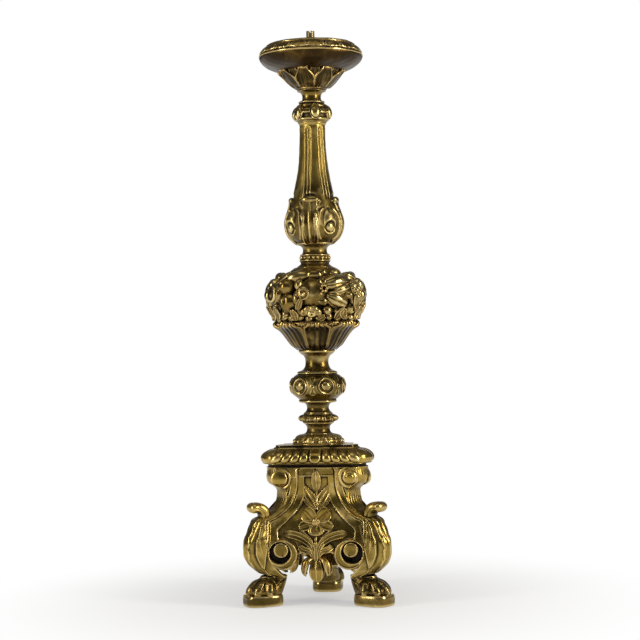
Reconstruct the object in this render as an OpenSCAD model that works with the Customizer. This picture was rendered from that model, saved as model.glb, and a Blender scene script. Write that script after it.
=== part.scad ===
// Torchere candle stand: a carved and gilded wooden altar candlestick.
// A three-sided base stands on lion's paws. Turned and carved sections stand on
// it, threaded on an iron tie rod that ends in the candle socket over the pan.
// Millimetres, +Z up. The origin is on the stem's axis at floor level, the front
// face looks along -Y, and the feet stand at 90, 210 and 330 degrees.

/* [Feet] */
// Radius from the axis to the middle of a foot pad
foot_radius = 131; // [127:1:136]
// Length of a foot pad along its diagonal
pad_length = 86; // [80:1:92]
// Width of a foot pad
pad_width = 66; // [60:1:72]
// Height of a foot pad
pad_h = 22; // [18:1:26]
// Height of a paw above its pad
paw_h = 37; // [32:1:42]
// Radius of a toe
toe_r = 10.5; // [9:0.5:12]
// Radius of the dowel that joins a paw to its leg
dowel_r = 5; // [4:0.5:5.5]
// Length of that dowel
dowel_len = 26; // [20:1:30]

/* [Legs] */
// Height of a corner leg, from the paw to the top board
leg_h = 224; // [210:1:238]
// Outer radius at the ankle
ankle_radius = 124; // [121:1:128]
// Outer radius at the knee
knee_radius = 175; // [168:1:182]
// Outer radius at the waist
waist_radius = 90; // [86:1:95]
// Outer radius at the upper volute
volute_radius = 116; // [111:1:121]
// Radius that the leaf tip over the knee reaches
ear_radius = 164; // [158:1:169]
// Thickness of that leaf tip
ear_h = 19; // [16:1:22]
// Height of that leaf tip as a share of the leg's height
ear_share = 0.625; // [0.61:0.005:0.64]

/* [Face panels] */
// Thickness of a face board
panel_t = 14; // [11:1:17]
// How far a face board lies behind the leg's face
panel_recess = 7; // [5:1:9]
// Height of the board's lower edge over the top of the paw
panel_bottom = 38; // [34:1:42]
// Rise of the two arches in that edge
panel_arch = 18; // [12:1:24]
// Outer radius of a lower volute
scroll_r = 31; // [28:1:33]
// Depth of a lower volute in front of the board
scroll_t = 21; // [18:1:24]
// Height of the lower volute's eye over the top of the paw
scroll_z = 57; // [54:1:60]
// Radius of an upper volute
volute_r = 20; // [17:1:22]
// How far an upper volute stands out of the leg's face
volute_out = 6; // [4:1:8]
// Distance of an upper volute's middle from the middle of the face
volute_x = 68; // [64:1:71]
// Distance of an upper volute's middle under the board
volute_drop = 22; // [21:1:26]
// Radius of the flower on each face
flower_r = 31; // [27:1:33]
// Height of the flower over the top of the paw
flower_z = 123; // [118:1:128]
// Length of the pendant husk under each face
husk_len = 47; // [40:1:50]
// Half width of the pendant husk
husk_w = 34; // [28:1:38]

/* [Base top] */
// Thickness of the board that closes the base
board_h = 8; // [6:1:12]
// Overhang of the board past the legs
board_overhang = 2; // [1:0.5:5]
// Height of the gadrooned moulding
gadroon_h = 28; // [24:1:32]
// How far the gadrooned moulding stands out past the legs
gadroon_out = 12; // [8:1:16]
// Thickness of the top plate
plate_h = 9; // [7:1:12]
// How far the top plate lies inside the legs' outline
plate_in = 18; // [14:1:22]

/* [Stem] */
// Height of the beaded collar
collar_h = 21; // [18:1:24]
// Foot radius of the beaded collar
collar_r = 54; // [50:1:58]
// Height of the neck over the collar
foot_neck_h = 22; // [18:1:26]
// Radius at the waist of the lower necks
neck_r = 23.5; // [21:0.5:26]
// Height of the leaf ring
leaf_ring_h = 22; // [18:1:26]
// Radius of the leaf ring
leaf_ring_r = 40; // [36:1:44]
// Height of the neck under the knop
knop_neck_h = 21; // [18:1:25]
// Height of the lower knop
knop_h = 66; // [60:1:72]
// Radius of the lower knop
knop_r = 58; // [54:1:62]
// Radius of a round boss on the lower knop
boss_r = 16.5; // [14:0.5:18]
// Height of the neck under the calyx
urn_neck_h = 47; // [42:1:52]
// Radius of the ring under the calyx
urn_ring_r = 37; // [34:1:40]
// Height of the calyx
calyx_h = 56; // [50:1:62]
// Radius of the calyx at the tips of its leaves
calyx_r = 89; // [84:1:94]
// Height of the fruit drum
drum_h = 114; // [106:1:122]
// Radius of the fruit drum behind the fruit
drum_r = 86; // [80:1:90]
// How far the fruit stands out of the drum
fruit_out = 21; // [17:1:24]
// Height of the beaded neck over the drum
bead_neck_h = 48; // [44:1:54]
// Foot radius of the beaded neck
bead_foot_r = 38; // [36:1:42]
// Radius of the beaded neck behind its beads
bead_ring_r = 30; // [28:1:32]
// Radius of a bead on the beaded neck
bead_r = 3.3; // [2.5:0.1:3.8]
// Height of the fluted baluster
baluster_h = 255; // [240:1:270]
// Radius of the baluster's foot
bulb_foot_r = 37; // [34:1:40]
// Radius of the baluster's bulb
bulb_r = 62; // [58:1:66]
// Radius of the baluster's shaft at its top
shaft_r = 26; // [24:0.5:28]
// Depth of a flute
flute_depth = 2.4; // [1:0.1:3]
// Height of the upper knop
top_knop_h = 45; // [40:1:50]
// Radius of the upper knop
top_knop_r = 37; // [34:1:40]
// Radius of a cabochon on the upper knop
cabochon_r = 9; // [7:0.5:10]
// Height of the neck under the leaf cup
top_neck_h = 23; // [20:1:27]
// Radius at the waist of that neck
top_neck_r = 20; // [18:0.5:22]

/* [Pan and socket] */
// Height of the leaf cup
cup_h = 42; // [38:1:46]
// Radius of the leaf cup at the tips of its leaves
cup_r = 69; // [64:1:73]
// Height of the drip pan
pan_h = 55; // [50:1:62]
// Radius of the drip pan
pan_r = 109; // [102:1:116]
// Depth of the drip pan's dish
dish_depth = 15; // [11:1:18]
// Outer radius of the candle socket
socket_r = 8.6; // [8:0.1:10]
// Bore radius of the candle socket
socket_bore_r = 5; // [4:0.1:5.6]
// Height of the candle socket above the dish
socket_h = 43; // [36:1:50]
// Radius of the socket's flange
flange_r = 19; // [16:1:24]
// Thickness of the socket's flange
flange_h = 3; // [2:0.5:4]

/* [Tie rod] */
// Radius of the tie rod
rod_r = 6; // [5:0.5:7]
// Clearance of the tie rod in the sections
rod_clearance = 1; // [0.5:0.1:1.5]
// Across-flats size of the nut under the board
nut_flats = 22; // [20:1:26]
// Thickness of that nut
nut_h = 11; // [9:1:14]
// Radius of the washer over that nut
washer_r = 22; // [18:1:26]
// Thickness of that washer
washer_h = 3; // [2:0.5:4]

/* [Hidden] */
$fn = 72;

gilt = "darkgoldenrod";
worn_gilt = "goldenrod";
iron = "dimgray";
bare_wood = "saddlebrown";

left_side = 210;
right_side = 330;
rear_side = 90;
front_face = 0;
right_face = 120;
left_face = 240;

// Heights of every joint, added up from the floor
z_paw = pad_h;
z_leg = z_paw + paw_h;
z_board = z_leg + leg_h;
z_gadroon = z_board + board_h;
z_plate = z_gadroon + gadroon_h;
z_collar = z_plate + plate_h;
z_foot_neck = z_collar + collar_h;
z_leaf_ring = z_foot_neck + foot_neck_h;
z_knop_neck = z_leaf_ring + leaf_ring_h;
z_knop = z_knop_neck + knop_neck_h;
z_urn_neck = z_knop + knop_h;
z_calyx = z_urn_neck + urn_neck_h;
z_drum = z_calyx + calyx_h;
z_bead_neck = z_drum + drum_h;
z_baluster = z_bead_neck + bead_neck_h;
z_top_knop = z_baluster + baluster_h;
z_top_neck = z_top_knop + top_knop_h;
z_cup = z_top_neck + top_neck_h;
z_pan = z_cup + cup_h;
z_dish = z_pan + pan_h - dish_depth;
bore_r = rod_r + rod_clearance;
fit_gap = 0.3;
ear_z = leg_h * ear_share;

// ---------------------------------------------------------------- helpers
function mix(a, b, t) = a + (b - a) * t;
function smooth(t) = t * t * (3 - 2 * t);
function clamp01(t) = min(1, max(0, t));
// The value at x of a curve that passes smoothly through knots [x, value, ...]
function span_of(knots, x, i = 0) = i >= len(knots) - 2 || x < knots[i + 1][0] ? i : span_of(knots, x, i + 1);
function slope_at(knots, i, k) =
    i == 0 || i == len(knots) - 1 ? 0
    : (knots[i + 1][k] - knots[i][k]) * (knots[i][k] - knots[i - 1][k]) <= 0 ? 0
    : (knots[i + 1][k] - knots[i - 1][k]) / (knots[i + 1][0] - knots[i - 1][0]);
function along(knots, x, k = 1) =
    let (i = span_of(knots, x), h = knots[i + 1][0] - knots[i][0], t = clamp01((x - knots[i][0]) / h))
    (2 * t ^ 3 - 3 * t ^ 2 + 1) * knots[i][k] + (t ^ 3 - 2 * t ^ 2 + t) * h * slope_at(knots, i, k)
    + (3 * t ^ 2 - 2 * t ^ 3) * knots[i + 1][k] + (t ^ 3 - t ^ 2) * h * slope_at(knots, i + 1, k);

function arc(cx, cy, r, a0, a1, n = 10) =
    [for (i = [0:n]) let (a = mix(a0, a1, i / n)) [cx + r * cos(a), cy + r * sin(a)]];

// A solid of revolution with the tie rod's bore. The profile runs up the outside.
module turned(profile) {
    top = profile[len(profile) - 1][1];
    rotate_extrude() polygon(concat([[bore_r, profile[0][1]]], profile, [[bore_r, top]]));
}

// A spool: two ends of radius end_r with a hollow between them
function spool(end_r, waist_r, h, fillet = 2.5) =
    concat([[end_r, 0], [end_r, fillet]],
        [for (i = [1:9]) let (t = i / 10)
            [end_r - (end_r - waist_r) * sin(180 * t) ^ 0.6, mix(fillet, h - fillet, t)]],
        [[end_r, h - fillet], [end_r, h]]);

// A tube through closed loops of points. Its ends are flat, or folded like a
// strip whose two long edges are the halves of the loop
module loft(loops, folded = false) {
    m = len(loops[0]);
    n = len(loops);
    sides = [for (i = [0:n - 2], j = [0:m - 1])
        let (a = i * m + j, b = i * m + (j + 1) % m)
        each [[a, a + m, b], [b, a + m, b + m]]];
    last = (n - 1) * m;
    ends = folded
        ? [for (j = [0:m / 2 - 2]) let (a = j, b = j + 1, c = m - 1 - j, d = m - 2 - j)
            each [[a, b, c], [b, d, c], [last + b, last + a, last + c], [last + d, last + b, last + c]]]
        : [[for (j = [0:m - 1]) j], [for (j = [m - 1:-1:0]) last + j]];
    polyhedron([for (loop = loops) each loop], concat(sides, ends));
}

// A ball that a hull stretches into toes and husks
module ball(p, r) {
    translate(p) sphere(r, $fn = 12);
}

// The convex body round a handful of points
module wrap(points) {
    hull() polyhedron(points, [[for (i = [0:len(points) - 1]) i]]);
}

// Carved strips and leaves: each pair of neighbouring sections is wrapped
module carved(sections) {
    for (i = [0:len(sections) - 2]) wrap(concat(sections[i], sections[i + 1]));
}

// A ring through closed sections of points, the last joined to the first
module closed_ring(sections) {
    n = len(sections);
    m = len(sections[0]);
    polyhedron([for (s = sections) each s],
        [for (i = [0:n - 1], j = [0:m - 1])
            let (a = i * m + j, b = i * m + (j + 1) % m,
                c = (i + 1) % n * m + j, d = (i + 1) % n * m + (j + 1) % m)
            each [[a, b, d], [a, d, c]]]);
}

// The same ring with sections of [radius, height], one for every angle
module section_ring(sections) {
    n = len(sections);
    closed_ring([for (i = [0:n - 1]) let (a = i * 360 / n)
        [for (p = sections[i]) [p[0] * cos(a), p[0] * sin(a), p[1]]]]);
}

// ---------------------------------------------------------------- base plan
// The leg at each height: height, outer radius, nose, half width, and the half
// width of the face that it leaves for the panel
leg_knots = [
    [0, ankle_radius, 6, 25, 70],
    [0.03, mix(ankle_radius, knee_radius, 0.28), 8, 25, 76],
    [0.07, mix(ankle_radius, knee_radius, 0.52), 12, 25, 84],
    [0.13, knee_radius - 10, 16, 24, 93],
    [0.23, knee_radius, 18, 24, 98],
    [0.33, knee_radius - 1, 18, 24, 98],
    [0.4, knee_radius - 9, 16, 24, 95],
    [0.47, knee_radius - 17.5, 12, 24, 90],
    [0.53, knee_radius - 31, 8, 25, 80],
    [0.57, mix(knee_radius, waist_radius, 0.6), 5, 25, 72],
    [0.62, waist_radius + 14, 4, 25, 62],
    [0.68, waist_radius + 3, 3, 25, 53],
    [0.75, waist_radius, 3, 24, 45],
    [0.79, waist_radius + 2, 3, 22, 42],
    [0.825, mix(waist_radius, volute_radius, 0.45), 4, 20, 40.5],
    [0.86, volute_radius - 3, 4, 19, 39.5],
    [0.92, volute_radius, 5, 19, 39.5],
    [1, volute_radius - 2, 4, 19, 39.5]
];
function leg_at(t, k) = along(leg_knots, t, k);
// How far the leg reaches back from its face: deeper at the ankle, for the dowel
function leg_back(t) = 15 + 20 * (1 - smooth(clamp01(t / 0.14)));
// Distance of the leg's face from the axis at share t of its height
function face_at(t) = (leg_at(t, 1) - leg_at(t, 2)) / 2 + leg_at(t, 3) * cos(30);
function corner_at(t) = (leg_at(t, 1) - leg_at(t, 2)) * cos(30) - leg_at(t, 3) / 2;

// One leg's plan at share t: its nose, two face bands and the back
function leg_plan(t) =
    let (c = leg_at(t, 1), s = c - leg_at(t, 2), w = leg_at(t, 3), b = corner_at(t) - leg_at(t, 4),
        band = [s - b * cos(30), w + b / 2],
        deep = min(leg_back(t), (band[1] - 3) / cos(30)),
        back = [band[0] - deep / 2, band[1] - deep * cos(30)])
    [[c, 0], [mix(s, c, 0.62), w * 0.62], [s, w], band, back,
        [back[0], -back[1]], [band[0], -band[1]], [s, -w], [mix(s, c, 0.62), -w * 0.62]];

// Radius at which the dowel joins paw and leg, inside the ankle
dowel_radius = mix(leg_plan(0)[4][0], ankle_radius, 0.64);

// The base's outline at leg's top, grown by out
function top_plan(out) =
    let (s = volute_radius - 6 + out, w = 19 + out * tan(30))
    [for (k = [0:2]) each
        [for (p = [[s, -w], [s, w]]) let (a = right_side + k * 120)
            [p[0] * cos(a) - p[1] * sin(a), p[0] * sin(a) + p[1] * cos(a)]]];

// ---------------------------------------------------------------- feet
module at_foot(side) {
    rotate(side) translate([foot_radius, 0, 0]) children();
}

module foot_pad(side) {
    corner = 24;
    color(gilt) at_foot(side) {
        linear_extrude(pad_h) union() {
            square([pad_length - 2 * corner, pad_width], center = true);
            square([pad_length, pad_width - 2 * corner], center = true);
            for (x = [-1, 1], y = [-1, 1])
                translate([x * (pad_length / 2 - corner), y * (pad_width / 2 - corner)]) circle(corner);
        }
    }
}

// A lion's paw: heel and ankle block, four toes, and the dowel's hole
module paw(side) {
    ankle_w = 50;
    heel_w = pad_width * 0.76;
    spread = pad_width / 2 - toe_r;
    color(worn_gilt) translate([0, 0, z_paw]) at_foot(side) difference() {
        intersection() {
            union() {
                hull() {
                    translate([3 - pad_length / 2, -heel_w / 2, 0]) cube([pad_length * 0.62, heel_w, 1]);
                    translate([-8 - pad_length / 2, -ankle_w / 2, paw_h - 1]) cube([54, ankle_w, 1]);
                }
                for (k = [-1.5:1:1.5]) hull() {
                    y = k * spread / 1.5;
                    ball([2, y * 0.55, paw_h - toe_r - 1], toe_r);
                    ball([pad_length * 0.25, y * 0.9, paw_h - toe_r - 4], toe_r);
                    ball([pad_length / 2 - toe_r - 1 - abs(k) * 5, y, toe_r * 0.9], toe_r);
                }
            }
            translate([-pad_length, -pad_width, 0]) cube([2 * pad_length, 2 * pad_width, paw_h]);
        }
        translate([dowel_radius - foot_radius, 0, paw_h - dowel_len / 2])
            cylinder(r = dowel_r + fit_gap, h = dowel_len);
    }
}

module paw_dowels() {
    color(bare_wood) for (side = [left_side, right_side, rear_side])
        rotate(side) translate([dowel_radius, 0, z_leg - dowel_len / 2 + fit_gap])
            cylinder(r = dowel_r, h = dowel_len - 2 * fit_gap);
}

// ---------------------------------------------------------------- legs
leg_steps = 25;
module leg(side) {
    color(gilt) rotate(side) translate([0, 0, z_leg]) difference() {
        union() {
            loft([for (i = [0:leg_steps]) let (t = i / leg_steps)
                [for (p = leg_plan(t)) [p[0], p[1], t * leg_h]]]);
            leg_ear();
        }
        translate([dowel_radius, 0, -dowel_len / 2]) cylinder(r = dowel_r + fit_gap, h = dowel_len);
    }
}

// The leaf tip that curls out over the knee
module leg_ear() {
    root = knee_radius - 52;
    bend = mix(root, ear_radius, 0.4);
    tip_r = ear_h * 0.42;
    hull() for (y = [-12, 12]) {
        ball([root - 8, y, ear_z - 7], tip_r);
        ball([bend, y, ear_z + 3], tip_r);
    }
    hull() for (y = [-1, 0, 1]) {
        ball([bend, y * 12, ear_z + 3], tip_r);
        ball([ear_radius - tip_r - abs(y) * 5, y * 10, ear_z - 2], tip_r);
    }
    hull() for (y = [-8, 8]) {
        ball([ear_radius - tip_r - 4, y, ear_z - 3], tip_r);
        ball([ear_radius - 3 * tip_r, y, ear_z - 9], tip_r * 0.6);
    }
}

// ---------------------------------------------------------------- faces
module on_face(face) {
    rotate(face) translate([0, 0, z_leg]) children();
}

// Height of the board's lower edge at share s of the half width
function panel_edge(s) = panel_bottom + panel_arch * sin(180 * s) ^ 2;
panel_cols = 10;
panel_rows = 9;
function panel_z(j) = mix(panel_bottom + panel_arch, leg_h, j / panel_rows);
function panel_point(i, j, depth) =
    let (s = abs(i) / panel_cols * 2, z = j == 0 ? panel_edge(s) : panel_z(j), share = z / leg_h)
    [sign(i) * s * (leg_at(share, 4) - fit_gap), panel_recess + depth - face_at(share), z];

module panel(face) {
    half = panel_cols / 2;
    color(gilt) on_face(face) loft([for (i = [-half:half]) concat(
        [for (j = [0:panel_rows]) panel_point(i, j, panel_t)],
        [for (j = [panel_rows:-1:0]) panel_point(i, j, 0)])], true);
}

// A flat spiral from radius r to its eye, turning the given number of times
spiral_steps = 28;
function spiral(r, eye, turns) =
    let (at = [for (i = [0:spiral_steps]) let (t = i / spiral_steps) [mix(r, eye, t), 360 * turns * t]])
    concat([for (p = at) p[0] * [cos(p[1]), sin(p[1])]],
        [for (i = [spiral_steps:-1:0]) let (p = at[i]) (p[0] * 0.62 - 1) * [cos(p[1]), sin(p[1])]]);

// A scroll that stands out by h from a face, with a round eye at its middle
module scroll(r, eye_r, h) {
    linear_extrude(h) polygon(spiral(r, eye_r, 1.1));
    cylinder(r = eye_r, h = h + 3);
}

// Places a scroll to the right and a mirrored one to the left of a face's middle
module scroll_pair(x, y, z) {
    for (side = [-1, 1])
        translate([side * x, y, z]) mirror([side > 0 ? 1 : 0, 0, 0]) rotate([90, 0, 0]) children();
}

// The two lower volutes of a face, thick enough to seat on the board behind
module scrolls(face) {
    share = scroll_z / leg_h;
    x_eye = leg_at(share, 4) - scroll_r - 2;
    back = scroll_t - panel_recess;
    color(worn_gilt) on_face(face) scroll_pair(x_eye, fit_gap - face_at(share), scroll_z) {
        translate([0, 0, -panel_recess]) cylinder(r = scroll_r, h = panel_recess + 1);
        scroll(scroll_r, scroll_r * 0.45, back - 8);
    }
}

// The two upper volutes of a face, on the side faces of the legs
module volutes(face) {
    z = leg_h - volute_drop;
    proud = max([for (k = [-2:2]) face_at((z + k * volute_r / 2) / leg_h)]);
    color(worn_gilt) on_face(face) scroll_pair(volute_x, -proud - fit_gap, z)
        scroll(volute_r, volute_r * 0.42, volute_out);
}

// The face's ground at a height over the paw: the front of the board
relief_gap = 1.2;
ground_knots = [for (j = [0:panel_rows])
    let (z = j == 0 ? panel_bottom : panel_z(j)) [z, panel_recess - relief_gap - face_at(z / leg_h)]];
function ground_at(z) = lookup(z, ground_knots);

// A leaf on the ground from root to tip, both [across, height], with a midrib
module leaf(root, tip, width, rise, steps = 4) {
    d = tip - root;
    across = [-d[1], d[0]] / norm(d);
    carved([for (i = [0:steps])
        let (t = i / steps, p = root + d * t, half = 1 + width / 2 * sin(180 * t ^ 0.8),
            top = 2 + (rise - 2) * sin(20 + 150 * t), rim = half * across[1],
            swell = max(0, (ground_at(p[1] + rim) + ground_at(p[1] - rim)) / 2 - ground_at(p[1])))
        [for (e = [[-half, 0], [0, top], [half, 0], [-half, 1], [half, 1]])
            let (q = p + e[0] * across) [q[0], ground_at(q[1]) - e[1] - swell, q[1]]]]);
}

// Flower of six petals, three lance leaves over it and four leaves below it
module flower(face) {
    r = flower_r;
    eye_r = 8;
    m = [0, flower_z];
    color(worn_gilt) on_face(face) {
        for (k = [0:5]) let (a = 60 * k) leaf(m, m + r * [cos(a) * 1.25, sin(a) * 0.85], r * 0.8, 7, 3);
        translate([0, min([for (e = [-1, 0, 1]) ground_at(flower_z + e * eye_r)]), flower_z])
            rotate([90, 0, 0]) cylinder(r = eye_r, h = eye_r, $fn = 24);
        leaf(m + [0, r * 0.8], [0, leg_h - 2], 21, 8, 6);
        leaf(m + [0, -r * 0.6], m + [0, -r * 2.3], 20, 9);
        for (s = [-1, 1]) {
            leaf(m + [s * 2, r * 0.8], m + [s * r * 0.9, r * 2.4], 15, 7);
            leaf(m + [s * 3, -r * 1.9], m + [s * r * 2.1, -r * 0.6], 24, 8);
            leaf(m + [s * 3, -r * 1.3], m + [s * r * 1.5, -r * 0.55], 13, 7);
        }
    }
}

// The bell-shaped husk that hangs under the board
module husk(face) {
    top = panel_bottom - fit_gap;
    seat = -face_at(top / leg_h) + panel_recess + panel_t / 2;
    color(worn_gilt) on_face(face) translate([0, seat, top]) {
        hull() {
            ball([0, 0, -7], 7);
            ball([0, -2, -husk_len * 0.6], 15);
            ball([0, 0, 5 - husk_len], 5);
        }
        for (s = [-1, 1]) hull() {
            ball([s * 4, 0, -8], 7);
            ball([s * (husk_w - 10), 0, -13], 8);
            ball([s * (husk_w - 6), 1, -husk_len * 0.55], 6);
        }
        for (s = [-1, 1]) hull() {
            ball([s * 5, -4, -7], 5);
            ball([s * 14, -8, -husk_len * 0.66], 4);
        }
    }
}

// ---------------------------------------------------------------- base top
module plan_board(out, h) {
    linear_extrude(h) difference() {
        polygon(top_plan(out));
        circle(bore_r);
    }
}

module top_board() {
    color(gilt) translate([0, 0, z_board]) plan_board(board_overhang, board_h);
}

module top_plate() {
    color(gilt) translate([0, 0, z_plate]) plan_board(-plate_in, plate_h);
}

// The gadroons lean away from the middle of each face
gadroons_a_side = 11;
cols_a_lobe = 4;
// Point of a plan at share u of its outline, starting at a corner of the first leg
function plan_point(plan, u) =
    let (x = u * 3, k = floor(x) % 3, t = x - floor(x), cut = 0.12,
        a = plan[2 * k], b = plan[2 * k + 1], c = plan[(2 * k + 2) % 6])
    t < cut ? mix(a, b, t / cut) : mix(b, c, (t - cut) / (1 - cut));

module gadroon_moulding() {
    cols = 3 * gadroons_a_side * cols_a_lobe;
    groove = 3.2;
    levels = [[0, -5], [0.1, -1], [0.35, 0], [0.6, -2], [0.85, -8.5], [1, -17]];
    function outer(i, l) =
        let (dip = l[0] > 0 && l[0] < 1 ? groove * (1 - abs(sin(180 * i / cols_a_lobe))) : 0,
            p = plan_point(top_plan(gadroon_out + l[1] - dip), i / cols))
        [p[0], p[1], l[0] * gadroon_h];
    function inner(i, z) =
        let (p = plan_point(top_plan(0), i / cols), share = bore_r / norm(p)) [p[0] * share, p[1] * share, z];
    color(gilt) translate([0, 0, z_gadroon]) closed_ring([for (i = [0:cols - 1])
        concat([for (l = levels) outer(i, l)], [inner(i, gadroon_h), inner(i, 0)])]);
}

// ---------------------------------------------------------------- stem
module beaded_collar() {
    eggs = 24;
    egg_r = 5.5;
    lip = 3;
    top_r = collar_r - 15;
    color(gilt) translate([0, 0, z_collar]) {
        turned(concat(arc(collar_r - lip, lip, lip, -90, 70, 6),
            [for (i = [0:6]) [mix(collar_r - 4, top_r, smooth(i / 6)), mix(6, collar_h - 3, i / 6)]],
            [[top_r, collar_h]]));
        for (k = [0:eggs - 1])
            rotate(k * 360 / eggs) translate([collar_r - 9, 0, collar_h * 0.55]) sphere(egg_r);
    }
}

module foot_neck() {
    color(gilt) translate([0, 0, z_foot_neck]) turned(spool(neck_r + 5, neck_r, foot_neck_h));
}

// A disc edged with small upright leaves
module leaf_ring() {
    leaves = 16;
    color(gilt) translate([0, 0, z_leaf_ring]) {
        turned(concat([[neck_r + 5, 0], [leaf_ring_r - 6, leaf_ring_h * 0.2]],
            arc(leaf_ring_r - 5, leaf_ring_h * 0.42, 5, -70, 60, 6),
            [[neck_r + 7, leaf_ring_h * 0.85], [neck_r + 4, leaf_ring_h]]));
        for (k = [0:leaves - 1]) rotate(k * 360 / leaves)
            translate([leaf_ring_r - 6, 0, leaf_ring_h * 0.5]) sphere(5.2);
    }
}

module knop_neck() {
    color(gilt) translate([0, 0, z_knop_neck]) turned(spool(neck_r + 4, neck_r, knop_neck_h));
}

// A flattened ball with six ringed bosses and six studs between them
knop_lip_r = knop_r - 17;
module lower_knop() {
    bosses = 6;
    first = -65;
    fillet = 5;
    belly = 68;
    color(gilt) translate([0, 0, z_knop]) {
        turned(concat([[knop_lip_r - 9, 0], [knop_lip_r, 2], [knop_lip_r, fillet]],
            [for (i = [0:14]) let (a = mix(-belly, belly, i / 14))
                [knop_r - 20 + 20 * cos(a), knop_h / 2 + (knop_h / 2 - fillet - 1) * sin(a) / sin(belly)]],
            [[knop_lip_r, knop_h - fillet], [knop_lip_r, knop_h - 2], [knop_lip_r - 9, knop_h]]));
        for (k = [0:bosses - 1]) rotate(first + k * 360 / bosses) translate([knop_r - 6, 0, knop_h / 2]) {
            rotate([0, 90, 0]) rotate_extrude() translate([boss_r - 2.5, 0]) circle(2.5, $fn = 24);
            translate([-4, 0, 0]) sphere(boss_r * 0.62);
        }
        for (k = [0:bosses - 1])
            rotate(first + (k + 0.5) * 360 / bosses) translate([knop_r - 2, 0, knop_h / 2]) sphere(3.4);
    }
}

module urn_neck() {
    ring_t = 5;
    shaft_h = urn_neck_h - 2 * ring_t - 4;
    color(gilt) translate([0, 0, z_urn_neck])
        turned(concat([[knop_lip_r - 9, 0], [neck_r + 5, 4]],
            [for (i = [1:9]) let (t = i / 10)
                [neck_r + 0.7 + 6 * (1 - sin(180 * t)) ^ 1.5, mix(4, shaft_h, t)]],
            [[neck_r + 6, shaft_h + 1]],
            arc(urn_ring_r - ring_t, urn_neck_h - ring_t - 1.5, ring_t, -80, 80, 8),
            [[urn_ring_r - 3, urn_neck_h]]));
}

// A cup of leaves: the profile's knots are [share of height, radius], and each
// leaf swells between grooves and turns its tip out at the lip
module leaf_ringed_cup(knots, h, lip_r, leaves, groove, cols_a_leaf, rows) {
    drop = (lip_r - along(knots, 0.8)) / 2;
    floor_h = h * 0.82;
    section_ring([for (i = [0:leaves * cols_a_leaf - 1])
        let (c = cos(360 * i / cols_a_leaf), gap = 1 - smooth(clamp01((c + 0.5) / 1.5)))
        concat(
            [for (j = [0:rows]) let (t = j / rows, r = along(knots, t))
                [r - groove * (1 - c) / 2 * (0.35 + t) - (t > 0.85 ? drop * gap : 0),
                    h * t - (t > 0.7 ? gap * h * 0.3 * (t - 0.7) : 0)]],
            [[along(knots, 0.7) * 0.8, floor_h], [bore_r, floor_h], [bore_r, 0]])]);
}

module calyx() {
    knots = [[0, urn_ring_r + 1], [0.15, calyx_r - 36], [0.35, calyx_r - 25], [0.7, calyx_r - 14],
        [0.88, calyx_r - 3], [0.95, calyx_r], [1, calyx_r - 4]];
    color(gilt) translate([0, 0, z_calyx]) leaf_ringed_cup(knots, calyx_h, calyx_r, 8, 4, 8, 9);
}

// The drum stands in the calyx and carries the fruit
drum_belly = 0.45;
drum_skin = concat([[calyx_r - 36, -calyx_h * 0.18], [calyx_r - 28, 0]],
    [for (i = [0:8]) [mix(calyx_r - 20, drum_r, sin(90 * i / 8)), drum_h * mix(0.03, drum_belly, i / 8)]],
    [for (i = [1:9]) let (a = 90 * i / 10)
        [mix(bead_foot_r, drum_r, cos(a)), drum_h * mix(drum_belly, 0.96, sin(a))]],
    [[bead_foot_r - 4, drum_h]]);
module fruit_drum() {
    color(gilt) translate([0, 0, z_drum]) turned(drum_skin);
}

// Half of the garland: angle, share of the drum's height, radius and depth of each
// fruit's centre behind the garland's face
fruits = [
    [-4, 0.54, 28, 27], [-41, 0.64, 18, 20], [-67, 0.53, 20, 20], [-42, 0.34, 17, 22], [20, 0.7, 16, 21],
    [35, 0.77, 14, 25], [20, 0.36, 14, 18], [37, 0.4, 14, 18], [57, 0.6, 13, 17], [57, 0.44, 14, 17],
    [-2, 0.16, 14, 20], [86, 0.6, 19, 20], [84, 0.33, 15, 19], [-23, 0.18, 11, 19], [16, 0.17, 11, 20],
    [48, 0.2, 12, 20], [-62, 0.22, 13, 20], [-22, 0.74, 13, 20]
];
first_fruit = -84;
module fruit_garland() {
    face_r = drum_r + fruit_out;
    color(worn_gilt) translate([0, 0, z_drum]) difference() {
        for (half = [0, 180], f = fruits)
            rotate(half + first_fruit + f[0]) translate([face_r - f[3], 0, drum_h * f[1]]) sphere(f[2]);
        rotate_extrude()
            polygon(concat([[0, -drum_h]], [for (p = drum_skin) p + [fit_gap, 0]], [[0, drum_h]]));
    }
}

module beaded_neck() {
    beads = 22;
    bead_z = bead_neck_h * 0.42;
    hollow = bulb_foot_r - bead_ring_r + 5;
    color(gilt) translate([0, 0, z_bead_neck]) {
        turned(concat([[bead_foot_r, 0], [bead_ring_r + 1, 3], [bead_ring_r - 1, 6]],
            arc(bead_ring_r - 2, 10, 3, -80, 80, 6),
            [[bead_ring_r - 2, bead_z - 4], [bead_ring_r, bead_z], [bead_ring_r - 3, bead_z + 4]],
            [for (i = [1:8]) let (t = i / 9)
                [bulb_foot_r - hollow + (hollow - 5) * (1 - sin(180 * t)) + 3 * t,
                    mix(bead_z + 5, bead_neck_h - 5, t)]],
            [[bulb_foot_r, bead_neck_h - 3], [bulb_foot_r, bead_neck_h]]));
        for (k = [0:beads - 1])
            rotate(k * 360 / beads) translate([bead_ring_r + 0.5, 0, bead_z]) sphere(bead_r);
    }
}

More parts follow.
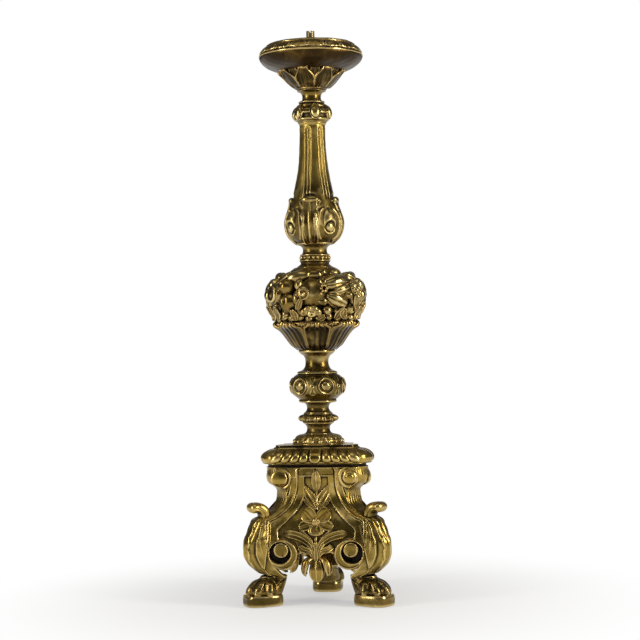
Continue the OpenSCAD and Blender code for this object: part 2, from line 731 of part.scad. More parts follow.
// The baluster's radius at shares of its height
baluster_knots = [
    [0, bulb_foot_r + 1], [0.03, bulb_r - 16], [0.07, bulb_r - 6], [0.16, bulb_r - 1], [0.2, bulb_r - 2],
    [0.27, bulb_r - 7], [0.33, bulb_r - 13], [0.42, shaft_r + 13.5], [0.5, shaft_r + 9.5],
    [0.62, shaft_r + 5], [0.75, shaft_r + 2.2], [0.9, shaft_r], [0.955, shaft_r + 0.6],
    [0.98, shaft_r + 4], [1, shaft_r + 5]
];
// Six flutes run down the shaft, each midway between two cabochons of the knop
flutes = 6;
first_flute = -44;
module baluster() {
    cols_a_flute = 8;
    rows = 18;
    color(gilt) translate([0, 0, z_baluster]) rotate(first_flute)
        section_ring([for (i = [0:flutes * cols_a_flute - 1])
            let (depth = i % cols_a_flute == 0 ? flute_depth : 0)
            concat([for (j = [0:rows])
                    let (t = j / rows, on_shaft = clamp01((t - 0.3) / 0.08) * clamp01((0.97 - t) / 0.04))
                    [along(baluster_knots, t) - depth * on_shaft, baluster_h * t]],
                [[bore_r, baluster_h], [bore_r, 0]])]);
}

// Four acanthus leaves that clasp the bulb and curl out at their tips
module baluster_leaves() {
    leaves = 4;
    first = -95;
    steps = 9;
    rise = 0.37;
    thick = 5;
    function half_angle(t) = 30 * (0.75 + 0.25 * sin(180 * t)) * (1 - 0.62 * t ^ 3);
    function curl(t) = 11 * t ^ 4;
    function back_r(t) = along(baluster_knots, mix(0.04, rise, t)) + fit_gap + 0.6 * curl(t);
    function front_r(t, e) = back_r(t) + 0.4 * curl(t) + thick * (0.5 + 0.5 * cos(90 * e)) * (1 - 0.2 * t);
    function at(r, a, t) = [r * cos(a), r * sin(a), mix(0.04, rise, t) * baluster_h];
    color(worn_gilt) translate([0, 0, z_baluster]) for (k = [0:leaves - 1]) rotate(first + k * 90)
        loft([for (i = [0:steps]) let (t = i / steps) concat(
            [for (e = [1:-0.5:-1]) at(back_r(t), e * half_angle(t), t)],
            [for (e = [-1:0.5:1]) at(front_r(t, e), e * half_angle(t), t)])]);
}

// A ball with six cabochons between fillets
module upper_knop() {
    stones = 6;
    first = first_flute + 30;
    belly = 62;
    color(gilt) translate([0, 0, z_top_knop]) {
        turned(concat([[shaft_r + 5, 0], [shaft_r + 6, 3], [shaft_r + 4, 5]],
            [for (i = [0:12]) let (a = mix(-belly, belly, i / 12))
                [top_knop_r - 14 + 14 * cos(a), top_knop_h / 2 + (top_knop_h / 2 - 6) * sin(a) / sin(belly)]],
            [[top_neck_r + 4, top_knop_h - 4], [top_neck_r + 3, top_knop_h]]));
        for (k = [0:stones - 1]) rotate(first + k * 360 / stones)
            translate([top_knop_r - 5, 0, top_knop_h / 2 - 2]) sphere(cabochon_r);
        for (k = [0:stones - 1]) rotate(first + (k + 0.5) * 360 / stones)
            translate([top_knop_r - 3, 0, top_knop_h / 2]) sphere(cabochon_r * 0.5);
    }
}

module upper_neck() {
    color(gilt) translate([0, 0, z_top_neck])
        turned(concat([[top_neck_r + 3, 0], [top_neck_r + 2, 2]],
            [for (i = [1:8]) let (t = i / 9) [top_neck_r + 9 * t ^ 3, mix(3, top_neck_h - 5, t)]],
            [[top_neck_r + 11, top_neck_h - 4], [top_neck_r + 11, top_neck_h]]));
}

module leaf_cup() {
    knots = [[0, top_neck_r + 12], [0.2, cup_r - 26], [0.45, cup_r - 15], [0.7, cup_r - 9], [0.9, cup_r - 2],
        [1, cup_r - 3]];
    color(gilt) translate([0, 0, z_cup]) leaf_ringed_cup(knots, cup_h, cup_r, 10, 4, 6, 8);
}

// ---------------------------------------------------------------- pan and socket
rim_h = 26;
rim_t = 20;
// The turned dish has a rebate for its carved rim and a recess for the socket's flange
module drip_pan() {
    seat = cup_h * 0.18;
    under = pan_h - rim_h;
    rebate_r = pan_r - rim_t - 2;
    floor_r = pan_r - 42;
    color(gilt) translate([0, 0, z_pan]) difference() {
        turned(concat(
            [[cup_r * 0.55, -seat], [cup_r - 14, 0]],
            [for (i = [0:8]) let (t = i / 8)
                [mix(cup_r - 11, pan_r - 5, sin(90 * t)), mix(1, under - 5, t ^ 1.2)]],
            [[pan_r - 3, under - 3], [pan_r - 3, under], [rebate_r, under], [rebate_r, pan_h - 1]],
            [[rebate_r - 1, pan_h], [rebate_r - 5, pan_h]],
            [[mix(rebate_r, floor_r, 0.5), pan_h - dish_depth * 0.55], [floor_r, pan_h - dish_depth]]));
        translate([0, 0, pan_h - dish_depth - flange_h]) cylinder(r = flange_r + fit_gap, h = dish_depth);
    }
}

// The carved rim: a ring of upright leaves that lean in towards the dish
module pan_rim() {
    leaves = 18;
    cols_a_leaf = 6;
    under = pan_h - rim_h;
    inner = pan_r - rim_t - 2 + fit_gap;
    swell = [[0, -2], [0.1, 0.8], [0.25, 1], [0.45, -1.5], [0.7, -9], [0.9, -16], [1, -19]];
    color(worn_gilt) translate([0, 0, z_pan]) section_ring([for (i = [0:leaves * cols_a_leaf - 1])
        let (groove = 2.4 * (1 - abs(sin(180 * i / cols_a_leaf))) ^ 1.5)
        concat([for (w = swell) [pan_r + w[1] - groove * (1 - w[0] * 0.7), under + w[0] * rim_h]],
            [[inner, pan_h], [inner, under]])]);
}

// An iron tube on a flange let into the dish, with a notch across its mouth
module candle_socket() {
    notch = 3;
    stop = 12;
    color(iron) translate([0, 0, z_dish]) difference() {
        translate([0, 0, -flange_h]) union() {
            cylinder(r = flange_r, h = flange_h);
            cylinder(r = socket_r, h = socket_h + flange_h);
        }
        translate([0, 0, stop]) cylinder(r = socket_bore_r, h = socket_h);
        translate([0, 0, -flange_h - 1]) cylinder(r = rod_r + 0.05, h = flange_h + stop - 1);
        translate([-notch / 2, -socket_r - 1, socket_h - 5]) cube([notch, 2 * socket_r + 2, 6]);
    }
}

// ---------------------------------------------------------------- tie rod
module tie_rod() {
    low = z_board - washer_h - nut_h - 12;
    color(iron) translate([0, 0, low]) cylinder(r = rod_r, h = z_dish + 9 - low);
}

module rod_nut() {
    color(iron) translate([0, 0, z_board - washer_h - nut_h]) difference() {
        linear_extrude(nut_h) square(nut_flats, center = true);
        translate([0, 0, -1]) cylinder(r = rod_r + 0.05, h = nut_h + 2);
    }
}

module rod_washer() {
    color(iron) translate([0, 0, z_board - washer_h]) difference() {
        cylinder(r = washer_r, h = washer_h);
        translate([0, 0, -1]) cylinder(r = rod_r + fit_gap, h = washer_h + 2);
    }
}

// ---------------------------------------------------------------- the part
foot_pad(left_side);  // pad_left
foot_pad(right_side);  // pad_right
foot_pad(rear_side);  // pad_rear
paw(left_side);  // paw_left
paw(right_side);  // paw_right
paw(rear_side);  // paw_rear
paw_dowels();
leg(left_side);  // leg_left
leg(right_side);  // leg_right
leg(rear_side);  // leg_rear
panel(front_face);  // panel_front
panel(left_face);  // panel_left
panel(right_face);  // panel_right
scrolls(front_face);  // scrolls_front
scrolls(left_face);  // scrolls_left
scrolls(right_face);  // scrolls_right
volutes(front_face);  // volutes_front
volutes(left_face);  // volutes_left
volutes(right_face);  // volutes_right
flower(front_face);  // flower_front
flower(left_face);  // flower_left
flower(right_face);  // flower_right
husk(front_face);  // husk_front
husk(left_face);  // husk_left
husk(right_face);  // husk_right
top_board();
gadroon_moulding();
top_plate();
beaded_collar();
foot_neck();
leaf_ring();
knop_neck();
lower_knop();
urn_neck();
calyx();
fruit_drum();
fruit_garland();
beaded_neck();
baluster();
baluster_leaves();
upper_knop();
upper_neck();
leaf_cup();
drip_pan();
pan_rim();
candle_socket();
tie_rod();
rod_nut();
rod_washer();
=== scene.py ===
"""Torchere candle stand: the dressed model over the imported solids.

Numbers are millimetres and degrees in the frame of the solids; Pile.emit turns them to metres.
"""
import math

import bpy
import numpy as np
import openvdb
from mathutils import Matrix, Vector


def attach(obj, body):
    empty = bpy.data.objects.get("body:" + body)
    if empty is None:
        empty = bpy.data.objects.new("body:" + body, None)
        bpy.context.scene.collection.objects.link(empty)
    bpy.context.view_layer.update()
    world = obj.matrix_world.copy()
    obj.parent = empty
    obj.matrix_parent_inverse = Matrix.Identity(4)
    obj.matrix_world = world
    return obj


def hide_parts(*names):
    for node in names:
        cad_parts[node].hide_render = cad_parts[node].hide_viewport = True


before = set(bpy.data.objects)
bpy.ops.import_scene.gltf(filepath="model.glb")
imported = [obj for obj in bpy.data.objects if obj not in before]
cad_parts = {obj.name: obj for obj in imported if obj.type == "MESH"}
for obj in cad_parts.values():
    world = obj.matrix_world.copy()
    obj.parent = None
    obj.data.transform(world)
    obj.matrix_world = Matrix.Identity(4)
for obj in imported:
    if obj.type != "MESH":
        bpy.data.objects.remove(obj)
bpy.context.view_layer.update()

# ------------------------------------------------------------------ numbers
# Heights of the pads' top, the legs' foot and the top board's underside
PAD, LEG, BOARD = 22, 59, 283
# How each face is turned from the front one, and where each leg stands
FACES = {"front": 0, "left": 240, "right": 120}
LEGS = {"left": 210, "right": 330, "rear": 90}
# How far the carved bands stand over the panels' ground
RELIEF = 7.
# Share of its full count that a fine grid is made with
DENSITY = .76

# Share of the leg's height, nose radius, nose depth, half width, face half width
LEG_KNOTS = np.array([[0, 124, 6, 25, 70], [.03, 138.3, 8, 25, 76], [.07, 150.5, 12, 25, 84],
    [.13, 165, 16, 24, 93], [.23, 175, 18, 24, 98], [.33, 174, 18, 24, 98], [.4, 166, 16, 24, 95],
    [.47, 157.5, 12, 24, 90], [.53, 144, 8, 25, 80], [.57, 124, 5, 25, 72], [.62, 104, 4, 25, 62],
    [.68, 93, 3, 25, 53], [.75, 90, 3, 24, 45], [.79, 92, 3, 22, 42], [.825, 101.7, 4, 20, 40.5],
    [.86, 113, 4, 19, 39.5], [.92, 116, 5, 19, 39.5], [1, 114, 4, 19, 39.5]])


# ------------------------------------------------------------------ curves and shapes
def counts(size):
    """A grid's two counts, with the larger ones brought down and kept odd."""
    return tuple(k if k < 30 else 2 * int(k * DENSITY / 2) + 1 for k in size)


def smooth(x, a, b):
    """Nought up to a, one from b on, and a soft step between."""
    t = np.clip((x - a) / (b - a), 0, 1)
    return t * t * (3 - 2 * t)


def bell(x, w):
    """One at nought, falling away over the width w."""
    return np.exp(-(x / w) ** 2)


def dome(x):
    """The height of a half circle over its radius's share x."""
    return np.sqrt(np.clip(1 - x ** 2, 0, 1))


def cosd(degrees):
    return np.cos(np.radians(degrees))


def sind(degrees):
    return np.sin(np.radians(degrees))


def wave(x, k):
    """Round-backed ribs, one for each whole number, sharpened or flattened by the power k."""
    return np.abs(np.sin(np.pi * x)) ** k


def swell(t, scale, start, k):
    """A rise and fall of the half sine between nought and one, to the power k."""
    return np.sin(np.pi * np.clip(t * scale + start, 0, 1)) ** k


def mix(a, b, t):
    return a + (b - a) * t


def unit(v):
    """Vectors brought to the length one."""
    return v / np.maximum(np.linalg.norm(v, axis=-1, keepdims=True), 1e-9)


def through(points, n):
    """n evenly spaced points on a smooth curve through the given points."""
    p = np.array(points, float)
    for _ in range(4):
        q = np.vstack([2 * p[0] - p[1], p, 2 * p[-1] - p[-2]])
        out = np.empty((2 * len(p) - 1, p.shape[1]))
        out[::2] = p
        out[1::2] = (9 * (q[1:-2] + q[2:-1]) - q[:-3] - q[3:]) / 16
        p = out
    d = np.r_[0, np.cumsum(np.linalg.norm(np.diff(p, axis=0), axis=1))]
    s = np.linspace(0, d[-1], n)
    return np.column_stack([np.interp(s, d, p[:, k]) for k in range(p.shape[1])])


def line_at(line, t):
    """Reads each column of a line at the shares t of its points."""
    at = np.clip(t, 0, 1) * (len(line) - 1)
    return [np.interp(at, np.arange(len(line)), column) for column in line.T]


def leg_at(z, k):
    """Column k of the leg's knots at a height, read as one smooth curve as the solids do."""
    x, kx, ky = (z - LEG) / (BOARD - LEG), LEG_KNOTS[:, 0], LEG_KNOTS[:, k]
    slope = np.zeros(len(kx))
    up = np.diff(ky)
    turn = up[1:] * up[:-1] > 0
    slope[1:-1][turn] = ((ky[2:] - ky[:-2]) / (kx[2:] - kx[:-2]))[turn]
    i = np.clip(np.searchsorted(kx, x, "right") - 1, 0, len(kx) - 2)
    h = kx[i + 1] - kx[i]
    t = np.clip((x - kx[i]) / h, 0, 1)
    return ((2 * t**3 - 3 * t**2 + 1) * ky[i] + (t**3 - 2 * t**2 + t) * h * slope[i]
        + (3 * t**2 - 2 * t**3) * ky[i + 1] + (t**3 - t**2) * h * slope[i + 1])


def face_at(z):
    """The distance of a leg's flat face from the axis."""
    return (leg_at(z, 1) - leg_at(z, 2)) / 2 + leg_at(z, 3) * math.cos(math.pi / 6)


def corner_at(z):
    """How far that face reaches to the side."""
    return (leg_at(z, 1) - leg_at(z, 2)) * math.cos(math.pi / 6) - leg_at(z, 3) / 2


def off_line(x, z, points, n=40):
    """Distance to a smooth line, the share along it, and the side."""
    p = through(points, n)
    best, share, side = np.full(x.shape, 1e9), np.zeros(x.shape), np.zeros(x.shape)
    for i in range(n - 1):
        d = p[i + 1] - p[i]
        t = np.clip(((x - p[i, 0]) * d[0] + (z - p[i, 1]) * d[1]) / (d @ d), 0, 1)
        ex, ez = x - p[i, 0] - t * d[0], z - p[i, 1] - t * d[1]
        r = np.hypot(ex, ez)
        near = r < best
        best = np.where(near, r, best)
        share = np.where(near, (i + t) / (n - 1), share)
        side = np.where(near, np.sign(d[0] * ez - d[1] * ex), side)
    return best, share, side


def turned_by(v, degrees):
    """Points turned round the axis."""
    a = math.radians(degrees)
    return v @ np.array([[math.cos(a), math.sin(a), 0], [-math.sin(a), math.cos(a), 0], [0, 0, 1]])


def twisted(p, degrees):
    """Points turned round the axis, each by its own number of degrees."""
    a = np.radians(degrees)
    return np.stack([p[..., 0] * np.cos(a) - p[..., 1] * np.sin(a), p[..., 0] * np.sin(a)
        + p[..., 1] * np.cos(a), p[..., 2]], -1)


def box_blur(a, k, axis, loop):
    """A running mean over 2 k + 1 values, twice."""
    for _ in range(2):
        pad = [(0, 0)] * a.ndim
        pad[axis] = (k + 1, k)
        c = np.cumsum(np.pad(a, pad, mode="wrap" if loop else "edge"), axis=axis)
        hi, lo = [slice(None)] * a.ndim, [slice(None)] * a.ndim
        hi[axis], lo[axis] = slice(2 * k + 1, None), slice(None, -2 * k - 1)
        a = (c[tuple(hi)] - c[tuple(lo)]) / (2 * k + 1)
    return a


def wobble(v):
    """The small unevenness of hand carving."""
    x, y, z = v[..., 0], v[..., 1], v[..., 2]
    w = np.stack([np.sin(.11 * y + .07 * z + 1) + .5 * np.sin(.31 * z + .23 * x),
        np.sin(.12 * x - .08 * z + 2) + .5 * np.sin(.29 * x + .27 * y + 1),
        np.sin(.10 * x + .13 * y) + .5 * np.sin(.33 * y - .21 * z + 2)], -1)
    return v + .22 * w


def turns_inward(v, q):
    """Whether the faces q of the closed mesh v look to its inside."""
    c = v[q[:, :3]] - v.mean(0)
    return np.einsum("ij,ij->i", c[:, 0], np.cross(c[:, 1], c[:, 2])).sum() < 0


class Pile:
    """Grids gathered into one mesh, with how deep each point lies in the carving."""

    # How far round a point its fine and its broad hollows are felt
    NEAR, WIDE = 1.3, 4.5

    def __init__(self):
        self.parts = []

    def grid(self, p, loop=(False, False), carved=True):
        """Adds a grid of points, closed round along the axes that loop."""
        nu, nv = p.shape[:2]
        if carved:
            p = wobble(p)
        along = [np.roll(p, -1, k) - np.roll(p, 1, k) if loop[k] else np.gradient(p, axis=k)
            for k in (0, 1)]
        n = unit(np.cross(*along))
        cell = [max(np.median(np.linalg.norm(np.diff(p, axis=k), axis=-1)), .05) for k in (0, 1)]
        depths = []
        for reach in (self.NEAR, self.WIDE):
            q = p
            for k in (0, 1):
                q = box_blur(q, int(np.clip(round(reach / cell[k]), 1, p.shape[k] // 3)), k,
                    loop[k])
            depths.append(np.sum((q - p) * n, -1) / reach)
        i = np.arange(nu * nv).reshape(nu, nv)
        a = np.concatenate([i, i[:1]]) if loop[0] else i
        a = np.concatenate([a, a[:, :1]], 1) if loop[1] else a
        q = np.stack([a[:-1, :-1], a[1:, :-1], a[1:, 1:], a[:-1, 1:]], -1).reshape(-1, 4)
        v = p.reshape(-1, 3)
        s = -1 if turns_inward(v, q) else 1
        return self.add(v, q[:, ::s], *(s * d.ravel() for d in depths))

    def add(self, v, q, near, wide):
        self.parts.append((v, q, near, wide))
        return self

    def all(self):
        """Points, faces and the two depths of everything in the pile."""
        first = np.cumsum([0] + [len(part[0]) for part in self.parts])
        faces = [part[1] + n for part, n in zip(self.parts, first)]
        return (np.vstack([part[0] for part in self.parts]), np.vstack(faces),
            *(np.concatenate([part[k] for part in self.parts]) for k in (2, 3)))

    def copied(self, turns=(0,), mirror=False):
        """This pile repeated at the given turns, each also mirrored left to right."""
        v, q, near, wide = self.all()
        out = Pile()
        for t in turns:
            out.add(turned_by(v, t), q, near, wide)
            if mirror:
                out.add(turned_by(v * [-1, 1, 1], t), q[:, ::-1], near, wide)
        return out

    def emit(self, name, paint, slot="gilding", node=None):
        """Makes the piece that stands for the node, which has its own name unless given."""
        v, q, near, wide = self.all()
        mesh = bpy.data.meshes.new(name)
        mesh.vertices.add(len(v))
        mesh.vertices.foreach_set("co", (v * .001).astype(np.float32).ravel())
        mesh.loops.add(4 * len(q))
        mesh.loops.foreach_set("vertex_index", q.astype(np.int32).ravel())
        mesh.polygons.add(len(q))
        mesh.polygons.foreach_set("loop_start", np.arange(0, 4 * len(q), 4, dtype=np.int32))
        mesh.update(calc_edges=True)
        mesh.shade_smooth()
        for key, value in (("hollow", near), ("depth", wide)):
            mesh.attributes.new(key, "FLOAT", "POINT").data.foreach_set("value",
                np.clip(value, -1.5, 1.5).astype(np.float32))
        mesh.materials.append(paint)
        piece = bpy.data.objects.new(name, mesh)
        bpy.context.scene.collection.objects.link(piece)
        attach(piece, "root")
        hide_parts(node or name)

    def emit_faces(self, name, paint, slot="gilding", node=None, mirror=False):
        """Makes the piece once for each face of the base."""
        for face, turn in FACES.items():
            self.copied((turn,), mirror).emit(f"{name}_{face}", paint, slot,
                f"{node or name}_{face}")


def revolved(pile, points, relief=None, pitch=1.1, around=480):
    """A turned profile [radius, height], raised by relief(turn in degrees, height, radius)."""
    length = np.linalg.norm(np.diff(np.array(points, float), axis=0), axis=1).sum()
    p = through(points, int(length / pitch) + 8)
    d = unit(np.gradient(p, axis=0))
    t, r, z = np.arange(around)[:, None] * 360 / around, p[None, :, 0], p[None, :, 1]
    h = relief(t, z, r) if relief else np.zeros((around, len(p)))
    out, up = r + d[None, :, 1] * h, z - d[None, :, 0] * h
    a = np.radians(t)
    return pile.grid(np.stack([out * np.cos(a), out * np.sin(a), up + 0 * a], -1), (True, False))


def gap_to(turn, first, count):
    """Signed turn to the nearest of count places, in degrees."""
    pitch = 360 / count
    return (turn - first + pitch / 2) % pitch - pitch / 2


def stem_place(points, turn):
    """Places a leaf on a turned profile that it follows or leaves."""
    p = through(points, 160)
    line = np.hstack([p, unit(np.gradient(p, axis=0))])

    def place(u, h, t):
        r, z, dr, dz = line_at(line, t)
        a = math.radians(turn) + u / np.maximum(r, 8)
        r, z = r + dz * h, z - dr * h
        return np.stack([r * np.cos(a), r * np.sin(a), z], -1)
    return place


def leaf(pile, place, half, thick, rib, dish, vein=0., size=(33, 70), ribs=0, edge=0.):
    """A carved leaf: half(t) is its half width, place(u, h, t) sets a point on its ground.

    rib, dish, vein and edge are the heights of its midrib, hollow, side ribs and border.
    """
    nu, nv = counts(size)
    t = np.linspace(0, 1, nv)[None]
    e = np.linspace(-1, 1, nu)[:, None]
    a = np.abs(e)
    h = rib * bell(e, .13) * (1 - .5 * t) - .5 * rib * bell(a - .22, .1)
    h = h + dish * (a ** 2 - .3) + edge * bell(a - .84, .11) * smooth(t, .02, .12)
    if ribs:
        h = h + vein * (wave(ribs * (e + 1) / 2, .7) - .5) * smooth(t, .02, .2)
    u = e * half(t)
    body = thick * (1 - .75 * a ** 3) * smooth(-t, -1.03, -.86) + .5
    front, back = place(u, h + body, t + 0 * u), place(u * .97, h * .6 - .6, t + 0 * u)
    return pile.grid(np.concatenate([front, back[::-1]]), (True, False))


def globe(n, last):
    """Longitudes and latitudes in degrees, up to the last one, and the unit ball's points."""
    lo = np.arange(n[0])[:, None] * 360 / n[0]
    la = np.linspace(-last, last, n[1])[None]
    return lo, la, np.stack([cosd(la) * cosd(lo), cosd(la) * sind(lo), sind(la) + 0 * lo], -1)


def ball(pile, centre, size, turn=0, n=(56, 36)):
    """A ball of the given half sizes."""
    p = globe(counts(n), 89.5)[2] * np.array(size, float)
    return pile.grid(turned_by(p, turn) + np.array(centre, float), (True, False))


class Clay:
    """A solid built from blended rounded forms on a fine lattice."""

    def __init__(self, low, high, cell):
        self.low, self.cell = np.array(low, float), cell
        self.n = np.ceil((np.array(high) - low) / cell).astype(int)
        self.f = np.full(self.n, 30, np.float32)

    def region(self, low, high):
        """The part of the lattice between two corners, and its points."""
        a = np.clip(np.floor((np.array(low) - self.low) / self.cell).astype(int), 0, self.n - 1)
        b = np.clip(np.ceil((np.array(high) - self.low) / self.cell).astype(int) + 1, 1, self.n)
        cut = tuple(slice(i, j) for i, j in zip(a, b))
        axes = [self.low[k] + self.cell * np.arange(a[k], b[k]) for k in range(3)]
        return cut, np.meshgrid(*axes, indexing="ij")

    def blend(self, cut, d, soft, take=False):
        f = self.f[cut]
        if take:
            h = np.clip(.5 + .5 * (d + f) / soft, 0, 1)
            self.f[cut] = mix(-d, f, h) + soft * h * (1 - h)
        else:
            h = np.clip(.5 + .5 * (f - d) / soft, 0, 1)
            self.f[cut] = mix(f, d, h) - soft * h * (1 - h)

    def tube(self, points, radii, soft=2., take=False, n=14):
        """Round forms strung on a smooth line, each with its own radius; take cuts them out."""
        p = through(np.column_stack([points, radii]), n)
        reach = p[:, 3].max() + soft + 3
        cut, (x, y, z) = self.region(p[:, :3].min(0) - reach, p[:, :3].max(0) + reach)
        best = np.full(x.shape, 1e6)
        for a, b in zip(p[:-1], p[1:]):
            d = b[:3] - a[:3]
            t = ((x - a[0]) * d[0] + (y - a[1]) * d[1] + (z - a[2]) * d[2]) / max(d @ d, 1e-9)
            t = np.clip(t, 0, 1)
            far = (x - a[0] - t * d[0]) ** 2 + (y - a[1] - t * d[1]) ** 2 + (z - a[2]
                - t * d[2]) ** 2
            best = np.minimum(best, np.sqrt(far) - mix(a[3], b[3], t))
        self.blend(cut, best, soft, take)

    def egg(self, centre, size, soft=2.):
        """An egg of the given half sizes."""
        size = np.array(size, float)
        cut, (x, y, z) = self.region(centre - size - soft - 3, centre + size + soft + 3)
        k = np.sqrt(((x - centre[0]) / size[0]) ** 2 + ((y - centre[1]) / size[1]) ** 2
            + ((z - centre[2]) / size[2]) ** 2)
        self.blend(cut, (k - 1) * size.min(), soft)

    def keep(self, d, soft=.5):
        """Cuts away where d is above nought."""
        h = np.clip(.5 - .5 * (self.f - d) / soft, 0, 1)
        self.f = mix(self.f, d, h).astype(np.float32) + soft * h * (1 - h)

    def axes(self):
        """Every point of the lattice."""
        return np.meshgrid(*[self.low[k] + self.cell * np.arange(self.n[k]) for k in range(3)],
            indexing="ij")

    def into(self, pile):
        """Adds the clay's surface to a pile, with its own two depths."""
        grid = openvdb.FloatGrid(30.0)
        grid.copyFromArray(np.ascontiguousarray(self.f, np.float32))
        v, q = grid.convertToQuads(isovalue=0.0)
        v, q = np.array(v, float), np.array(q, int)
        inside = np.clip(-self.f / self.cell, -1, 1) * .5 + .5
        depths = []
        for reach in (1.6, 5.):
            m = inside
            for k in range(3):
                m = box_blur(m, max(1, int(round(reach / self.cell))), k, False)
            i = np.clip(np.round(v).astype(int), 0, self.n - 1)
            depths.append((m[i[:, 0], i[:, 1], i[:, 2]] - .5) * 2.2)
        return pile.add(self.low + v * self.cell, q[:, ::-1] if turns_inward(v, q) else q, *depths)


# ------------------------------------------------------------------ finishes
class Nodes:
    """Short hand for a node tree."""

    def __init__(self, tree):
        self.tree = tree
        tree.nodes.clear()

    def add(self, kind, inputs=None, **settings):
        n = self.tree.nodes.new(kind)
        for k, v in settings.items():
            setattr(n, k, v)
        for k, v in (inputs or {}).items():
            if isinstance(v, bpy.types.NodeSocket):
                self.tree.links.new(v, n.inputs[k])
            else:
                n.inputs[k].default_value = v
        return n

    def math(self, op, a, b=0., clamp=False):
        return self.add("ShaderNodeMath", {0: a, 1: b}, operation=op, use_clamp=clamp).outputs[0]

    def sum(self, first, *terms):
        """first and each (socket, factor), added up."""
        for socket, factor in terms:
            first = self.math("ADD", first, self.math("MULTIPLY", socket, factor))
        return first

    def about_half(self, noise, factor):
        """A noise that swings round nought."""
        return self.math("MULTIPLY", self.math("SUBTRACT", noise, .5), factor)

    def blend(self, f, a, b):
        return self.add("ShaderNodeMix", {0: f, 6: a, 7: b}, data_type="RGBA").outputs[2]

    def level(self, x, a, b, c=0., d=1.):
        return self.add("ShaderNodeMapRange", {0: x, 1: a, 2: b, 3: c, 4: d},
            interpolation_type="SMOOTHSTEP").outputs[0]

    def noise(self, where, scale, detail=3., rough=.55, bend=0.):
        return self.add("ShaderNodeTexNoise", {"Vector": where, "Scale": scale, "Detail": detail,
            "Roughness": rough, "Distortion": bend}).outputs[0]

    def place(self):
        return self.add("ShaderNodeTexCoord").outputs["Object"]

    def finish(self, body, rough, relief, strength, distance, **more):
        """The surface, with relief as fine bumps of the given height in metres."""
        bump = self.add("ShaderNodeBump", {"Strength": strength, "Distance": distance,
            "Height": relief})
        shader = self.add("ShaderNodeBsdfPrincipled", {"Base Color": body, "Roughness": rough,
            "Normal": bump.outputs[0], **more})
        self.add("ShaderNodeOutputMaterial", {0: shader.outputs[0]})


def new_paint(name):
    """A material and its empty node tree."""
    paint = bpy.data.materials.new(name)
    paint.use_nodes = True
    return paint, Nodes(paint.node_tree)


def colour(r, g, b, k=1.):
    """An sRGB colour, 0 to 255, times k, as the linear numbers a socket takes."""
    part = [c * k / 255 for c in (r, g, b)]
    return tuple(c / 12.92 if c <= .04045 else ((c + .055) / 1.055) ** 2.4 for c in part) + (1,)


BOLE = (120, 66, 32)
METAL = .95


